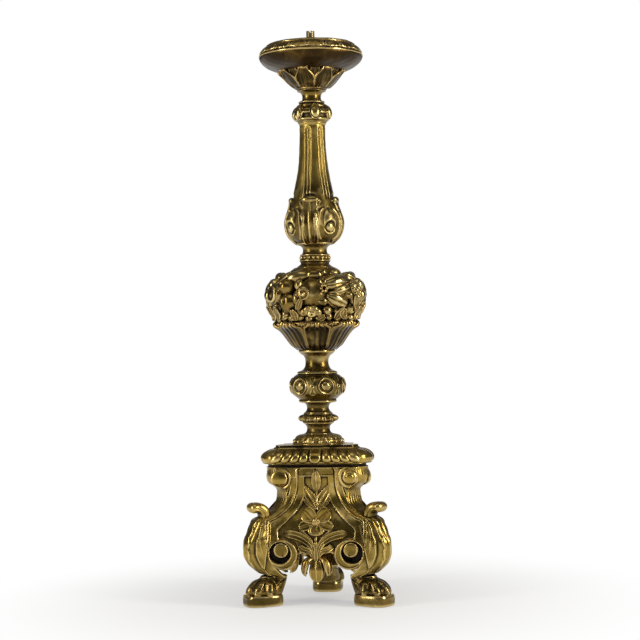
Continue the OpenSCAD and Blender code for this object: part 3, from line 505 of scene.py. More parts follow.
def gilding(name, light=(240, 214, 142), mid=(158, 131, 60), olive=(108, 90, 36), soil_and_shade=(32, 22, 8),
        grime_and_shade=.5, wear=.25, shift=0., gloss=.27, pale=None, carved=True):
    """Aged leaf over bole, a little rubbed: a painted highlight on ridges, and soil with painted
    shade in hollows.

    shift moves the patches, pale is a lighter colour laid over the upper stem as a painted
    highlight, and carved meshes carry their own depths.
    """
    paint, n = new_paint(name)
    place = n.add("ShaderNodeVectorMath", {0: n.place(), 1: (shift, shift * .7,
        shift * .3)}).outputs[0]
    patch, cloud = n.noise(place, 9, 2), n.noise(place, 34, 4, .55, .4)
    speck, grain = n.noise(place, 170, 3, .6), n.noise(place, 800, 2, .6)
    if carved:
        near = n.add("ShaderNodeAttribute", attribute_name="hollow").outputs["Fac"]
        wide = n.add("ShaderNodeAttribute", attribute_name="depth").outputs["Fac"]
    else:
        edge = n.math("SUBTRACT", n.add("ShaderNodeNewGeometry").outputs["Pointiness"], .5)
        near, wide = n.math("MULTIPLY", edge, -3.), n.math("MULTIPLY", edge, -1.)
    # painted shade: ambient occlusion, the carving's fine and broad depths and some noise make one
    # mask that lays real soil and painted shade into the hollows
    shade = n.add("ShaderNodeAmbientOcclusion", {"Distance": .03}, samples=6).outputs["AO"]
    low = n.sum(n.math("MULTIPLY", near, .38), (wide, 1.15), (n.math("SUBTRACT", 1., shade), 1.6))
    low = n.math("ADD", low, n.about_half(cloud, .7))
    low = n.math("ADD", low, n.about_half(speck, .12))
    dirt_and_shade = n.level(low, .34 - .3 * grime_and_shade, 1.3 - .4 * grime_and_shade)
    high = n.math("SUBTRACT", n.math("MULTIPLY", near, -2.4), n.math("MULTIPLY", wide, .5))
    ridge_highlight = n.level(high, .1, 1.1)
    rubbed = n.level(n.math("ADD", high, n.about_half(speck, 1.5)), 1.6 - wear * .8, 2. - wear * .8)
    # from the gold of the leaf and its painted highlight on ridges to stains, rubbed bole, and soil
    # with painted shade
    gold = n.blend(n.level(n.sum(patch, (cloud, .35)), .5, .85), colour(*olive), colour(*mid))
    gold = n.blend(n.level(cloud, .5, .8, 0., .5), gold, colour(*light))
    # painted highlight: the ridges lightened towards the light colour
    gold = n.blend(n.math("MULTIPLY", ridge_highlight, .7), gold, colour(*light))
    # painted highlight: above a height the gilding turns towards the pale colour
    if pale:
        height = n.add("ShaderNodeSeparateXYZ", {0: place}).outputs[2]
        gold = n.blend(n.level(height, .855 + shift * .3, .9 + shift * .3, 0., .7), gold,
            colour(*pale))
    stain = n.level(n.noise(place, 22, 3, .6, .8), .58, .76, 0., .4)
    gold = n.blend(stain, gold, colour(*olive, .66))
    gold = n.blend(n.math("MULTIPLY", rubbed, .3), gold, colour(*BOLE))
    red = n.level(n.sum(n.noise(place, 60, 3, .6), (dirt_and_shade, .14)), .62, .78, 0., .4)
    gold = n.blend(red, gold, colour(*BOLE, .8))
    # the hollows painted dark: soil together with painted shade
    body = n.blend(dirt_and_shade, gold, n.blend(n.level(speck, .4, .65), colour(*soil_and_shade), colour(*soil_and_shade, 1.7)))
    dull = n.math("MULTIPLY", n.math("MAXIMUM", dirt_and_shade, n.math("MULTIPLY", rubbed, .3)), .4 * METAL)
    rough = n.sum(n.level(cloud, .3, .75, gloss - .05, gloss + .1), (dirt_and_shade, .3))
    rough = n.math("SUBTRACT", rough, n.math("MULTIPLY", ridge_highlight, .05))
    rough = n.math("ADD", rough, n.about_half(grain, .12), True)
    relief = n.sum(n.math("MULTIPLY", cloud, .9), (speck, .28), (grain, .06))
    n.finish(body, rough, relief, .36, .001, Metallic=n.math("SUBTRACT", METAL, dull))
    return paint


def old_iron(name):
    """Dull iron with brown rust in patches."""
    paint, n = new_paint(name)
    place = n.place()
    cloud, speck = n.noise(place, 90, 4, .6), n.noise(place, 420, 3, .6)
    body = n.blend(n.level(cloud, .35, .65), colour(150, 134, 92), colour(112, 98, 66))
    rust = n.level(n.noise(place, 160, 4, .65), .58, .74)
    body = n.blend(rust, body, n.blend(speck, colour(88, 52, 26), colour(52, 34, 22)))
    rough = n.sum(n.level(cloud, .3, .7, .34, .5), (rust, .25))
    metal = n.math("SUBTRACT", .9, n.math("MULTIPLY", rust, .6))
    n.finish(body, rough, n.math("ADD", speck, rust), .5, .0005, Metallic=metal)
    return paint


def raw_wood(name):
    """Bare wood with its grain upright."""
    paint, n = new_paint(name)
    long = n.add("ShaderNodeMapping", {"Vector": n.place(), "Scale": (1, 1, .12)}).outputs[0]
    grain = n.noise(long, 240, 5, .6, .5)
    body = n.blend(n.level(grain, .35, .65), colour(98, 66, 38), colour(146, 106, 64))
    n.finish(body, n.level(grain, .3, .7, .55, .75), grain, .4, .0006)
    return paint


GILT = gilding("gilding_stem", mid=(130, 107, 48), olive=(84, 68, 27), soil_and_shade=(17, 11, 4), grime_and_shade=.72)
# the shaft's gilding, its upper part painted pale as a painted highlight
SHAFT = gilding("gilding_shaft", mid=(112, 92, 41), olive=(74, 60, 24), soil_and_shade=(15, 10, 3), grime_and_shade=.66,
    shift=1.1, gloss=.34, pale=(198, 168, 86))
# painted light: the base's gilding is a lighter copy, for the warmer light that falls on the base
BASE = gilding("gilding_base", mid=(178, 148, 71), olive=(122, 101, 41), soil_and_shade=(24, 16, 6),
    grime_and_shade=.46, shift=2.2)
BASE_WORN = gilding("gilding_base_worn", mid=(168, 137, 64), olive=(114, 94, 38), soil_and_shade=(24, 16, 6),
    grime_and_shade=.55, wear=.4, shift=5.9)
WORN = gilding("gilding_worn", mid=(124, 99, 44), olive=(82, 66, 26), soil_and_shade=(16, 10, 4), grime_and_shade=.8,
    wear=.35, shift=3.1)
FRUIT = gilding("gilding_fruit", light=(246, 220, 150), mid=(128, 102, 45), olive=(80, 64, 25),
    soil_and_shade=(18, 12, 4), grime_and_shade=.74, wear=.3, shift=4.1, gloss=.24)
PLAIN = gilding("gilding_turned", mid=(140, 114, 52), olive=(92, 75, 30), soil_and_shade=(18, 12, 4), wear=.1,
    shift=7.7, gloss=.25)
# painted shade: darker copies of the gilding for the calyx under the fruit and the leaf cup under
# the pan
CALYX = gilding("gilding_calyx", light=(196, 164, 96), mid=(58, 46, 18), olive=(34, 27, 10),
    soil_and_shade=(11, 7, 2), grime_and_shade=.9, wear=.2, shift=2.9)
CUP = gilding("gilding_dark", light=(206, 172, 102), mid=(80, 64, 26), olive=(48, 38, 15),
    soil_and_shade=(13, 8, 3), grime_and_shade=.85, wear=.2, shift=1.7)
# painted shade: the pan's underside, which faces down, gets a dark brown copy of the gilding
UNDERSIDE_SHADE = gilding("gilding_underside", light=(116, 88, 42), mid=(66, 48, 20), olive=(48, 35, 14),
    soil_and_shade=(22, 14, 5), grime_and_shade=.7, wear=.1, shift=5.3, gloss=.36)
RIM_GILT = gilding("gilding_rim", light=(240, 210, 140), mid=(140, 112, 50), olive=(96, 77, 30),
    grime_and_shade=.22, wear=.15, shift=6.1)
CARRIED = gilding("gilding_solid", carved=False)
IRON, WOOD = old_iron("iron_aged"), raw_wood("wood_raw")


# ------------------------------------------------------------------ stem
def beads(pile, radius, height, size, count, first, tall=1.):
    """A ring of count beads, the first of them at the given turn."""
    for k in range(count):
        a = first + k * 360 / count
        ball(pile, (radius * cosd(a), radius * sind(a), height), (size, size, size * tall),
            n=(18, 12))
    return pile


def collar_relief(turn, z, r):
    """Eighteen lobes round the collar's slope."""
    side = np.abs(gap_to(turn, -90, 18)) / 10
    upper = bell(z - 341.5, 5.4) * (z > 334)
    return upper * (3.6 * dome(side) - 2.2) + 0 * r


def stem_collar():
    """The domed collar on the base's plate, with lobes and a row of beads."""
    p = revolved(Pile(), [(12, 327), (54, 327), (54.8, 328.5), (54.4, 330.5), (51.5, 331.6),
        (50.6, 334.5), (50, 336.8), (48.5, 338.5), (46.5, 342), (42, 345.4), (36, 347.4),
        (29, 348.6), (12, 349)], collar_relief)
    beads(p, 50.2, 333.6, 4.4, 18, -80).emit("collar", BASE_WORN, node="beaded_collar")


def lobed_ring(turn, z, r):
    """Fifteen folded leaves round a ring."""
    side = np.abs(gap_to(turn, -90, 15)) / 12
    body = bell(z - 381, 5.5)
    return body * (3.2 * (1 - side ** 2.4) - 2.6 - 1.2 * bell(side, .12)
        + 1.1 * bell(side - .28, .14))


def stem_rings():
    """The necks and the leaf ring between the collar and the lower knop."""
    revolved(Pile(), [(12, 348.5), (28.5, 348.5), (29, 350), (26.5, 351.6), (24.7, 354.5),
        (24, 359), (24.6, 363.5), (26.8, 367.5), (30, 369.7), (30.6, 371.3),
        (12, 371.6)]).emit("foot_neck", PLAIN)
    revolved(Pile(), [(12, 370.8), (30.8, 370.8), (32.6, 372), (32.8, 373.6), (34, 374.4),
        (38.4, 376.2), (40.6, 378.6), (41, 381.6), (39, 385.2), (34.8, 388), (30.6, 389.2),
        (30.8, 390.4), (30.4, 391.9), (28.4, 392.8), (12, 393.2)], lobed_ring).emit("leaf_ring",
        WORN, "worn_gilding")
    revolved(Pile(), [(12, 392.6), (27.4, 392.8), (27.2, 394.6), (24.6, 397.3), (23.2, 401),
        (23.1, 404.5), (24.3, 409), (27, 412.3), (31, 414.3), (12, 414.5)]).emit("knop_neck", PLAIN)


def knop_relief(turn, z, r):
    """Six ringed bosses with a drilled dot and two sunk darts between each pair."""
    radius, middle = 57, 449.5
    side, up = gap_to(turn, -65.5, 6) * np.pi / 180 * radius, z - middle
    d = np.hypot(side * .98, up)
    h = 2.1 * bell(d - 15.7, 1.15) - 1. * bell(d - 17.9, 1.1) - 1.3 * smooth(-d, -15, -13.6)
    h = h + 4.3 * dome(d / 10.)
    between = 30 * np.pi / 180 * radius - np.abs(side)
    h = h - 2.4 * bell(np.hypot(between, up), 1.5) + .9 * bell(np.hypot(between, up) - 3.1, .9)
    dart = smooth(-between, -.42 * (np.abs(up) - 6.5) - .9, -.42 * (np.abs(up) - 6.5) + .3)
    h = h - 1.5 * dart * smooth(np.abs(up), 7, 8.5) * smooth(-np.abs(up), -19, -17)
    return h * smooth(-np.abs(up), -25, -20)


def stem_knop():
    """The ringed knop and the neck over it."""
    revolved(Pile(), [(12, 413.8), (34, 413.9), (38.4, 414.8), (40, 417), (39.4, 419.2),
        (38.4, 420.4), (41, 422.6), (46, 426.8), (51.4, 431.8), (55.2, 438), (57.2, 445),
        (57.8, 451.5), (56.6, 458.2), (53.2, 464.6), (48.4, 469.8), (43.4, 473), (40.8, 474.2),
        (42.2, 475.4), (42.4, 477.2), (40.6, 479), (36, 480), (12, 480.3)], knop_relief, 1.1,
        540).emit("lower_knop", GILT)
    revolved(Pile(), [(12, 479.5), (37, 479.6), (33.5, 481.4), (29, 484.4), (26, 489.4),
        (24.4, 495), (24.2, 501), (25.3, 507), (28.4, 512.5), (33, 515.6), (34.6, 517.2),
        (35.6, 518), (37.6, 519.5), (38.4, 522), (37.4, 525), (35.6, 526.8),
        (12, 527.6)]).emit("urn_neck", PLAIN)


def cup_leaf(wide, waist=.5, tip=.36, full=.5):
    """Half widths of a leaf that is broad at its middle and narrows to a folded tip."""
    return lambda t: wide * (waist + (1 - waist) * smooth(t, -.05, full)) * (1
        - (1 - tip) * smooth(t, full + .06, .93)) * np.sqrt(np.clip((1.004 - t) / .07, 0,
        1)) ** (t > .93)


def stem_calyx():
    """The cup of the urn: two rows of eight leaves and a lip."""
    p = revolved(Pile(), [(12, 526.6), (37, 526.8), (41, 529.6), (48, 535), (53.4, 541),
        (58.6, 548), (62, 554), (65.5, 560), (71, 567), (77, 572), (79, 574.6), (75, 575.6),
        (70, 574), (60, 566), (12, 560)], around=240)
    back = [(37, 527.6), (44.4, 534), (51.6, 541.4), (58.4, 550.4), (64.6, 559.4), (72, 568.4),
        (80, 575), (85, 578), (85.4, 581)]
    front = [(38, 526.8), (44.2, 531.8), (51.3, 537.8), (57.2, 545.6), (63, 553.6), (68.8, 561),
        (74.8, 567.6), (81, 572.4), (86.4, 575.4), (88.6, 578.6), (87.6, 581.8), (84.6, 582.8)]
    revolved(p, [(60, 572), (80, 574), (85, 577.4), (86, 581), (83, 584.6), (74, 588), (60, 590)],
        around=240)
    for k in range(8):
        leaf(p, stem_place(back, -60.5 + k * 45), cup_leaf(15, .6, .8), 2.3, 1., .6, .7, ribs=3,
            size=(25, 60), edge=.8)
        leaf(p, stem_place(front, -83 + k * 45), cup_leaf(30, .66, .72, .72), 2.8, .9, .7, .95,
            ribs=5, size=(53, 84), edge=1.3)
    p.emit("calyx", CALYX)


def stem_drum():
    """The urn's body behind the fruit, and the neck over it."""
    revolved(Pile(), [(12, 560), (50, 562), (60, 573), (67, 583), (73, 597), (79, 615), (84, 634),
        (84, 650), (79, 662), (70, 672), (60, 680), (54.6, 686), (51.4, 691), (46, 694.6),
        (40, 696.8), (12, 697.3)], around=360).emit("fruit_drum", PLAIN)
    p = revolved(Pile(), [(12, 696), (38.6, 696.2), (39, 697.6), (36.6, 699.3), (33.4, 701.6),
        (30.4, 704), (29.8, 707), (31.2, 709), (32.6, 710.2), (32.8, 712), (31, 713), (29.6, 717),
        (30.4, 721), (31.6, 722.4), (31, 724), (27.6, 725.6), (25.8, 728.6), (25.2, 733),
        (26, 737.6), (28.6, 741.4), (33, 744), (37, 744.8), (12, 745.4)])
    beads(p, 30.6, 717.2, 3., 20, -90, 1.15).emit("beaded_neck", PLAIN)


# Baluster: bulb, fluted shaft, four clasping leaves, the first at LEAF_TURN
LEAF_TURN = -94
BALUSTER = [(12, 744.4), (35, 744.6), (38, 745.6), (39.2, 747), (38.2, 748.6), (40, 750.8),
    (46, 755), (51.6, 761), (55.6, 768), (58.4, 777), (59.4, 787), (58.8, 797), (57, 805),
    (53.6, 814), (50, 824), (46.8, 834), (44, 843), (41.4, 853), (39.2, 862), (36.6, 874),
    (34.2, 886), (32, 898), (30.2, 911), (28.6, 925), (27.4, 942), (26.4, 962), (26, 980),
    (26.4, 990), (27.2, 996), (28.6, 999.4), (12, 1000.4)]


def baluster_relief(turn, z, r):
    """Six flutes on the shaft, and on the bulb a carved field between each two leaves."""
    side = gap_to(turn, -44, 6) * np.pi / 180 * r
    d = np.hypot(side, np.maximum(z - 985, 0))
    d = np.hypot(d, np.maximum(840 - z, 0) * .7)
    shaft = smooth(z, 836, 850) * smooth(-z, -994, -988)
    share = np.abs(gap_to(turn, -14, 6)) / 30
    h = shaft * (.9 * bell(d, 2.) * smooth(-z, -986, -978) - 1.1 * bell(d - 3.8, 2.)
        - .4 * smooth(3.8 - d, 0, 1) + .7 * bell(d - 7.2, 2.4) + 1.2 * (1 - share ** 2) - .6)
    # between the leaves a hooded swelling holds an eye at its foot, framed by C-shaped scrolls
    middle, eye_r = 779, 9.8
    lat, up = gap_to(turn, -50, 4) * np.pi / 180 * np.maximum(r, 40), z - middle
    c = np.hypot(lat, up)
    hood = np.hypot(lat / 15.5, (up - 13) / 25)
    h_bulb = 6.6 * np.clip(1 - hood ** 2, 0, 1) ** .55 * smooth(c, 8., 15)
    over = smooth(up + .3 * c, -6, 4)
    h_bulb = h_bulb - 1.5 * bell(c - 11.2, 2.) * (.15 + .85 * over) + 1.9 * bell(c - 13.4,
        1.5) * (1 - over)
    h_bulb = h_bulb + 5.6 * dome(c / eye_r)
    notch = bell(lat, 2.6) * smooth(up, 26, 31) * smooth(-up, -46, -36)
    h_bulb = h_bulb - 3.2 * notch
    for line, rise in (([(13, 37), (20, 30), (24.4, 18), (26.4, 0), (22, -16), (15, -24)], 3.),
            ([(17, 56), (24, 51), (29, 42), (32, 28), (33, 8)], 2.2)):
        out, _, s = off_line(np.abs(lat), up, line)
        h_bulb = h_bulb + rise * bell(out, 2.3) - 1.2 * bell(out - 4.4, 2.) * (s > 0)
    bulb = smooth(z, 750, 757) * smooth(-z, -846, -828)
    slot = np.abs(gap_to(turn, LEAF_TURN, 4)) * np.pi / 180 * r
    h = h - 3.6 * bell(z - 847 + slot ** 2 / 60, 3.4) * smooth(-slot, -17, -8)
    return h + bulb * h_bulb


def baluster_leaf(t):
    """The half width of a clasping leaf, broad where it rolls over."""
    return np.interp(t, [0, .06, .16, .35, .52, .62, .7, .78, .84, .9, 1.],
        [13, 16, 17.5, 17, 17, 20.5, 18.5, 16, 15.5, 15.5, 14])


def stem_baluster():
    """The shaft and the four leaves that clasp its bulb."""
    revolved(Pile(), BALUSTER, baluster_relief, 1.2, 480).emit("baluster", SHAFT)
    p = Pile()
    spine = [(37, 747.6), (43, 752.4), (49.2, 758.6), (54.4, 766.4), (57.6, 776), (58.8, 787),
        (57.8, 798), (54.6, 811), (50.6, 823), (48.6, 830), (48, 835), (47.6, 839)]
    for side in (LEAF_TURN + k * 90 for k in range(4)):
        leaf(p, stem_place(spine, side), baluster_leaf, 2.2, 1.6, 1., .14, size=(61, 150), ribs=3,
            edge=.6)
        ball(p, (46.4 * cosd(side), 46.4 * sind(side), 837), (7., 17.6, 7.8), side, (60, 40))
        for s in (-1, 1):
            curl = [(38.5, 749.5), (46, 755.6), (53, 763.5), (57.4, 774), (59.4, 786), (58.6, 798),
                (55.4, 809), (52.6, 819), (51.6, 827), (53, 832), (51.4, 834.6)]

            def place(u, h, t, turn=side, s=s, base=stem_place(curl, 0)):
                bend = np.interp(t, [0, .3, .6, .8, .92, 1], [9, 12.4, 12, 15.5, 22.5, 25.5])
                return twisted(base(u, h, t), turn + s * bend)
            leaf(p, place, lambda t: 3.5 * swell(t, .9, .07, .5), 2., 1.5, .1, size=(15, 70))
    p.emit("baluster_leaves", WORN, "worn_gilding")


def cabochons(turn, z, r):
    """Six framed eyes with deep gaps between them."""
    radius, middle, half, tall = 39, 1021.5, 10.4, 14.6
    side, up = gap_to(turn, -73, 6) * np.pi / 180 * radius, z - middle
    d = np.hypot(side / half, up / tall)
    h = 4.8 * dome(d / .93) - 1.2 * bell(d - .97, .05) + 1.1 * bell(d - 1.07, .06)
    hole = smooth(d, 1.14, 1.26) * smooth(-up, 1.5, 5) * smooth(up, -15.5, -12)
    top = smooth(d, 1.14, 1.26) * smooth(up, 5.5, 8) * smooth(-up, -14.5, -12)
    return (h - 5.6 * hole - 2.2 * top) * smooth(-np.abs(up), -18.5, -16)


def stem_top():
    """The upper knop, its neck and the cup of leaves under the pan."""
    revolved(Pile(), [(12, 999.6), (28.6, 999.8), (30.2, 1001), (30.8, 1002.4), (33.4, 1004.2),
        (36.6, 1006.8), (38.8, 1011.), (39.2, 1016.5), (38.2, 1023), (35.8, 1030), (31.6, 1035.6),
        (27.4, 1038.8), (25.8, 1040.6), (27.4, 1042), (27.4, 1043.8), (25, 1045.2), (12, 1045.5)],
        cabochons, .8, 480).emit("upper_knop", GILT)
    revolved(Pile(), [(12, 1044.5), (24, 1045), (21.2, 1047), (19.8, 1051), (19.6, 1056),
        (20.6, 1060), (23, 1063.6), (27, 1066), (30, 1067), (12, 1068.4)]).emit("upper_neck", PLAIN)
    p = revolved(Pile(), [(12, 1066.6), (27.4, 1066.8), (30, 1068.4), (31.6, 1070.6),
        (31.8, 1072.6), (30.4, 1074), (30.6, 1075.4), (34, 1077), (39, 1080.6), (45, 1086.2),
        (50, 1092.4), (54, 1099), (55, 1104), (12, 1109)], around=240)
    back = [(31, 1075), (38.6, 1080.4), (46.4, 1087.4), (52.8, 1095), (58, 1102.4), (62, 1107.2),
        (64.4, 1109.8), (63, 1111.4)]
    front = [(30.4, 1074.4), (36.4, 1077.4), (43.6, 1082.8), (50.2, 1089.4), (55.8, 1096.2),
        (60.8, 1102), (64.8, 1105.8), (67, 1108.6), (66.4, 1111.4), (63.2, 1112)]
    for k in range(8):
        leaf(p, stem_place(back, -76.5 + k * 45), cup_leaf(13, .7, .75), 1.8, 1.2, .8, .8, ribs=2,
            size=(25, 56), edge=1.5)
        leaf(p, stem_place(front, -99 + k * 45), cup_leaf(22.6, .62, .46, .4), 2.4, 1.1, 1.2, 1.,
            ribs=4, size=(45, 76), edge=2.)
    p.emit("leaf_cup", CUP)


RIM = [(92, 1140), (104, 1138.4), (108, 1138.2), (109.3, 1139.4), (109.1, 1141.4), (107, 1142.6),
    (107, 1145), (104.6, 1150.4), (101, 1155), (97.4, 1158.8), (93.8, 1162), (90.8, 1163.4),
    (90, 1164.4), (88.4, 1164.8), (86.8, 1163.6), (86.6, 1160)]


def rim_relief(turn, z, r):
    """Long leaf lobes with turned-up lower edges, and a bead at each joint."""
    radius, middle, half = 105, 1151.4, 18.3
    side, up = gap_to(turn, -78, 18) * np.pi / 180 * radius, z - middle
    e = np.abs(side) / half
    tall = 8.8 * np.clip(1 - e ** 3., 0, 1) ** .5 + .2
    d = np.abs(up - .9 * np.cos(side * .5)) / tall
    lobe = 4.6 * np.clip(1 - d ** 2.6, 0, 1) ** .6 + .9 * bell(up + tall * .62, 2.2) * (e < .86)
    bead = 5. * dome(np.hypot(half - np.abs(side), up + 3.4) / 3.4)
    on = smooth(z, 1142.6, 1144) * smooth(-z, -1162.4, -1160.6) * smooth(r, 90, 94)
    return on * (np.maximum(lobe, bead) - 4.)


def stem_pan():
    """The dished pan and its carved rim."""
    revolved(Pile(), [(12, 1104), (44, 1104.4), (60, 1106), (70, 1108.6), (77, 1111.2),
        (84.4, 1114.4), (91, 1117.6), (96.6, 1121), (101, 1124.6), (104.6, 1128.6), (107, 1132.4),
        (108.4, 1136), (108.6, 1138.6), (105, 1139.6), (96, 1140.2), (92, 1142), (90, 1158),
        (87.4, 1163), (84.6, 1164.6), (82.6, 1164), (80.6, 1160.6), (77, 1156.6), (72, 1152.2),
        (66, 1150.2), (40, 1150.05), (12, 1150)], None, 1.2).emit("pan_dish", UNDERSIDE_SHADE, node="drip_pan")
    revolved(Pile(), RIM, rim_relief, .8, 900).emit("pan_rim", RIM_GILT, "worn_gilding")


for build in (stem_collar, stem_rings, stem_knop, stem_calyx, stem_drum, stem_baluster, stem_top,
        stem_pan):
    build()




# ------------------------------------------------------------------ fruit round the urn
# The urn's outline as [height, radius]
URN = np.array([[583, 86], [590, 87], [597, 88.5], [603, 93], [609, 96], [616, 98.5], [622, 101.5],
    [628, 104], [635, 106.5], [641, 107.5], [647, 106.5], [654, 104], [660, 101.5], [666, 98],
    [673, 91], [679, 82.5], [685, 74], [691, 59], [697, 45]])


# Where the garland's middle stands
FRUIT_TURN = -84
# The turn that spreads small round things evenly
GOLDEN = 137.5


def fruit(pile, turn, height, size, relief=None, spin=0., sunk=.62, pole="out", n=(64, 40)):
    """A ball of half sizes (across, up, out) set in the urn's outline at a turn and a height.

    sunk is the share of its depth that lies inside; relief(longitude, latitude) raises it.
    """
    out_r = np.interp(height, URN[:, 0], URN[:, 1])
    slope = np.interp(height + 6, URN[:, 0], URN[:, 1]) - np.interp(height - 6, URN[:, 0],
        URN[:, 1])
    lean = math.atan2(-slope, 12) * .8
    lo, la, k = globe(counts(n), 89.3)
    if pole == "side":
        k = k[..., [2, 0, 1]]
    h = relief(lo, la) if relief else 0.
    q = k * np.array(size, float) + k * (h + np.zeros(k.shape[:2]))[..., None]
    s = math.radians(spin)
    q = np.stack([q[..., 0] * math.cos(s) - q[..., 1] * math.sin(s), q[..., 0] * math.sin(s)
        + q[..., 1] * math.cos(s), q[..., 2]], -1)
    up = q[..., 1] * math.cos(lean) + q[..., 2] * math.sin(lean)
    out = -q[..., 1] * math.sin(lean) + q[..., 2] * math.cos(lean)
    reach = out_r - size[2] * sunk * math.cos(lean)
    p = np.stack([reach + out, q[..., 0], height - size[2] * sunk * math.sin(lean) + up], -1)
    return pile.grid(turned_by(p, turn), (True, False))


def on_urn(turn, height, spin, length, raise_by=2.):
    """Places a leaf on the urn's outline, from its foot, pointing spin degrees from upright."""
    s = math.radians(spin)

    def place(u, h, t):
        v = t * length
        x, z = u * math.cos(s) + v * math.sin(s), height - u * math.sin(s) + v * math.cos(s)
        r = np.interp(z, URN[:, 0], URN[:, 1]) - 4 + raise_by + h
        a = math.radians(turn) + x / np.maximum(r, 30)
        return np.stack([r * np.cos(a), r * np.sin(a), z], -1)
    return place


def round_leaf(wide):
    """The half width of a plain leaf."""
    return lambda t: wide * swell(t, .93, .05, .62)


# Skins of the fruit: their relief at a longitude and a latitude
def dimple(deep=3., wide=15):
    return lambda lo, la: -deep * bell(90 - la, wide)


def swirl(lo, la):
    return 1.5 * cosd((90 - la) * 5.5 + lo) * smooth(la, 8, 24)


def eye(lo, la):
    return 1.7 * cosd((90 - la) * 9) * smooth(la, 28, 40) - 2.4 * bell(90 - la, 13)


def ribs(lo, la):
    return 1.4 * np.abs(sind(lo * 4)) ** .6 * cosd(la) ** .5


def hollow(lo, la):
    x, y = cosd(la) * cosd(lo), cosd(la) * sind(lo)
    return -4.5 * bell(np.hypot(x + .1, y - .42), .2) - 3.5 * bell(np.hypot(x - .62, y + .62), .26)


def fruit_garland():
    """Half the garland, from the front's middle out, and its copy on the back."""
    c, p = FRUIT_TURN, Pile()
    # Pomegranate with its curled eye and its crown
    fruit(p, c - 4.6, 643, (31.6, 31, 27), sunk=.99, n=(132, 88))
    fruit(p, c - 14, 642, (11.4, 13.6, 5.2), swirl, sunk=.68, n=(72, 52))
    for k in range(6):
        fruit(p, c + 9.6 + 3.3 * math.cos(k * 1.047), 650.5 + 6.4 * math.sin(k * 1.047),
            (3.5, 3.5, 5.2), sunk=.2, n=(22, 16))
    # The round fruit on the left, from the top down
    fruit(p, c - 31, 681, (28, 13.5, 15), None, 14, .66, "side", (104, 60))
    fruit(p, c - 43, 661, (19.4, 17, 18), dimple(2.2, 8), -10, .8, n=(92, 60))
    fruit(p, c - 62, 642, (22, 23.5, 19), eye, 0, .92, n=(96, 72))
    fruit(p, c - 39.5, 618, (21.4, 21.4, 18), hollow, 0, .8, n=(110, 76))
    fruit(p, c - 66, 611, (17, 15, 14), dimple(), 0, .84, n=(64, 44))
    # Ribbed shells, small fruit at the shoulder, berries
    fruit(p, c + 29, 670, (34, 17, 17), ribs, 10, .8, "side", (132, 64))
    fruit(p, c + 33, 650, (21, 8.5, 13), ribs, 18, .86, "side", (100, 44))
    fruit(p, c + 28, 623.5, (27, 17, 17), ribs, -22, .8, "side", (124, 60))
    fruit(p, c - 2.4, 685.5, (19, 11.4, 13), sunk=.7, n=(72, 44))
    fruit(p, c + 62, 678, (20, 11, 13), ribs, -26, .76, "side", (84, 40))
    fruit(p, c + 57, 642, (17, 28, 13), None, 4, 1.1, n=(40, 30))
    for k in range(17):
        a, b = k * GOLDEN, math.sqrt((k + .5) / 17)
        x, y = 17 * b * cosd(a), 27 * b * sind(a)
        fruit(p, c + 57 + math.degrees(x / 100), 642 + y, (6.8, 6.8, 7.2), sunk=.5 + .8 * b * b,
            n=(28, 20))
    fruit(p, c + 88, 655, (24, 21, 18), dimple(), 10, .86, n=(90, 56))
    fruit(p, c + 84, 620, (21, 17, 16), ribs, 60, .84, "side", (100, 44))
    fruit(p, c + 92, 682, (20, 12, 13), None, 8, .7, n=(64, 40))
    # The open flower under the pomegranate
    for turn, high, size, spin in ((-8.6, 603.5, (9, 8, 7), 40), (-3.8, 609, (9.5, 7, 6), 12),
            (3.4, 609.5, (9.5, 7, 6), -12), (8., 603, (9, 8, 7), -40)):
        fruit(p, c - 6.4 + turn, high, size, dimple(1.6, 26), spin, sunk=-.25, n=(44, 30))
    fruit(p, c - 5.4, 600.4, (10.5, 8, 7.5), dimple(3.4, 22), 0, sunk=-.3, n=(56, 40))
    # Small fruit and leaf bosses wherever the ground would show
    for turn, high, size in ((-23, 607, (9, 14, 11)), (15.5, 602, (11, 11, 12)),
            (36, 601, (16, 11, 12)), (-52, 597, (12, 10, 11)), (55, 606, (13, 13, 13)),
            (72, 601, (11, 11, 12)), (-80, 597, (12, 12, 12)), (-79, 666, (15, 15, 13)),
            (74, 664, (13, 15, 13)), (13, 688.5, (12, 7, 10)), (-53, 680, (12, 11, 12)),
            (-71, 684, (14, 9, 11)), (41, 688, (14, 7, 10)), (8, 622, (12, 9, 10)),
            (-24, 627, (8, 13, 11)), (44, 636, (12, 9, 12)), (72, 634, (11, 14, 12)),
            (-49, 640, (7, 12, 10)), (10, 669, (10, 12, 11)), (88, 598, (13, 12, 12)),
            (98, 638, (12, 14, 11)), (-22, 664, (9, 12, 10))):
        fruit(p, c + turn, high, size, dimple() if size[0] > 12 else None, 0, .84, n=(52, 36))
    for k in range(13):
        fruit(p, c + 4 + k * 180 / 13, 589.5 + 2.5 * (k % 2), (8.6, 8.4, 9), sunk=.7, n=(34, 24))
    # Plain leaves between them, their tips turned out
    for turn, high, spin, long, wide in ((-16, 630, -150, 28, 6.5), (-27, 586, -12, 24, 8.5),
            (25, 588, 40, 30, 8), (40, 588, -30, 26, 8.5), (48, 636, 150, 40, 8),
            (62, 588, 14, 30, 8.5), (-58, 588, 8, 30, 8.5), (-70, 588, 10, 30, 8),
            (-50, 664, 20, 26, 8), (76, 588, 18, 34, 8.5), (90, 588, -20, 32, 8.5),
            (2, 586, 60, 18, 7)):
        leaf(p, on_urn(c + turn, high, spin, long, 6), round_leaf(wide), 3., 1.2, 1.8, .5, ribs=4,
            size=(27, 46), edge=1.3)
    p.copied((0, 180)).emit("fruit_and_leaves", FRUIT, "worn_gilding", node="fruit_garland")


fruit_garland()




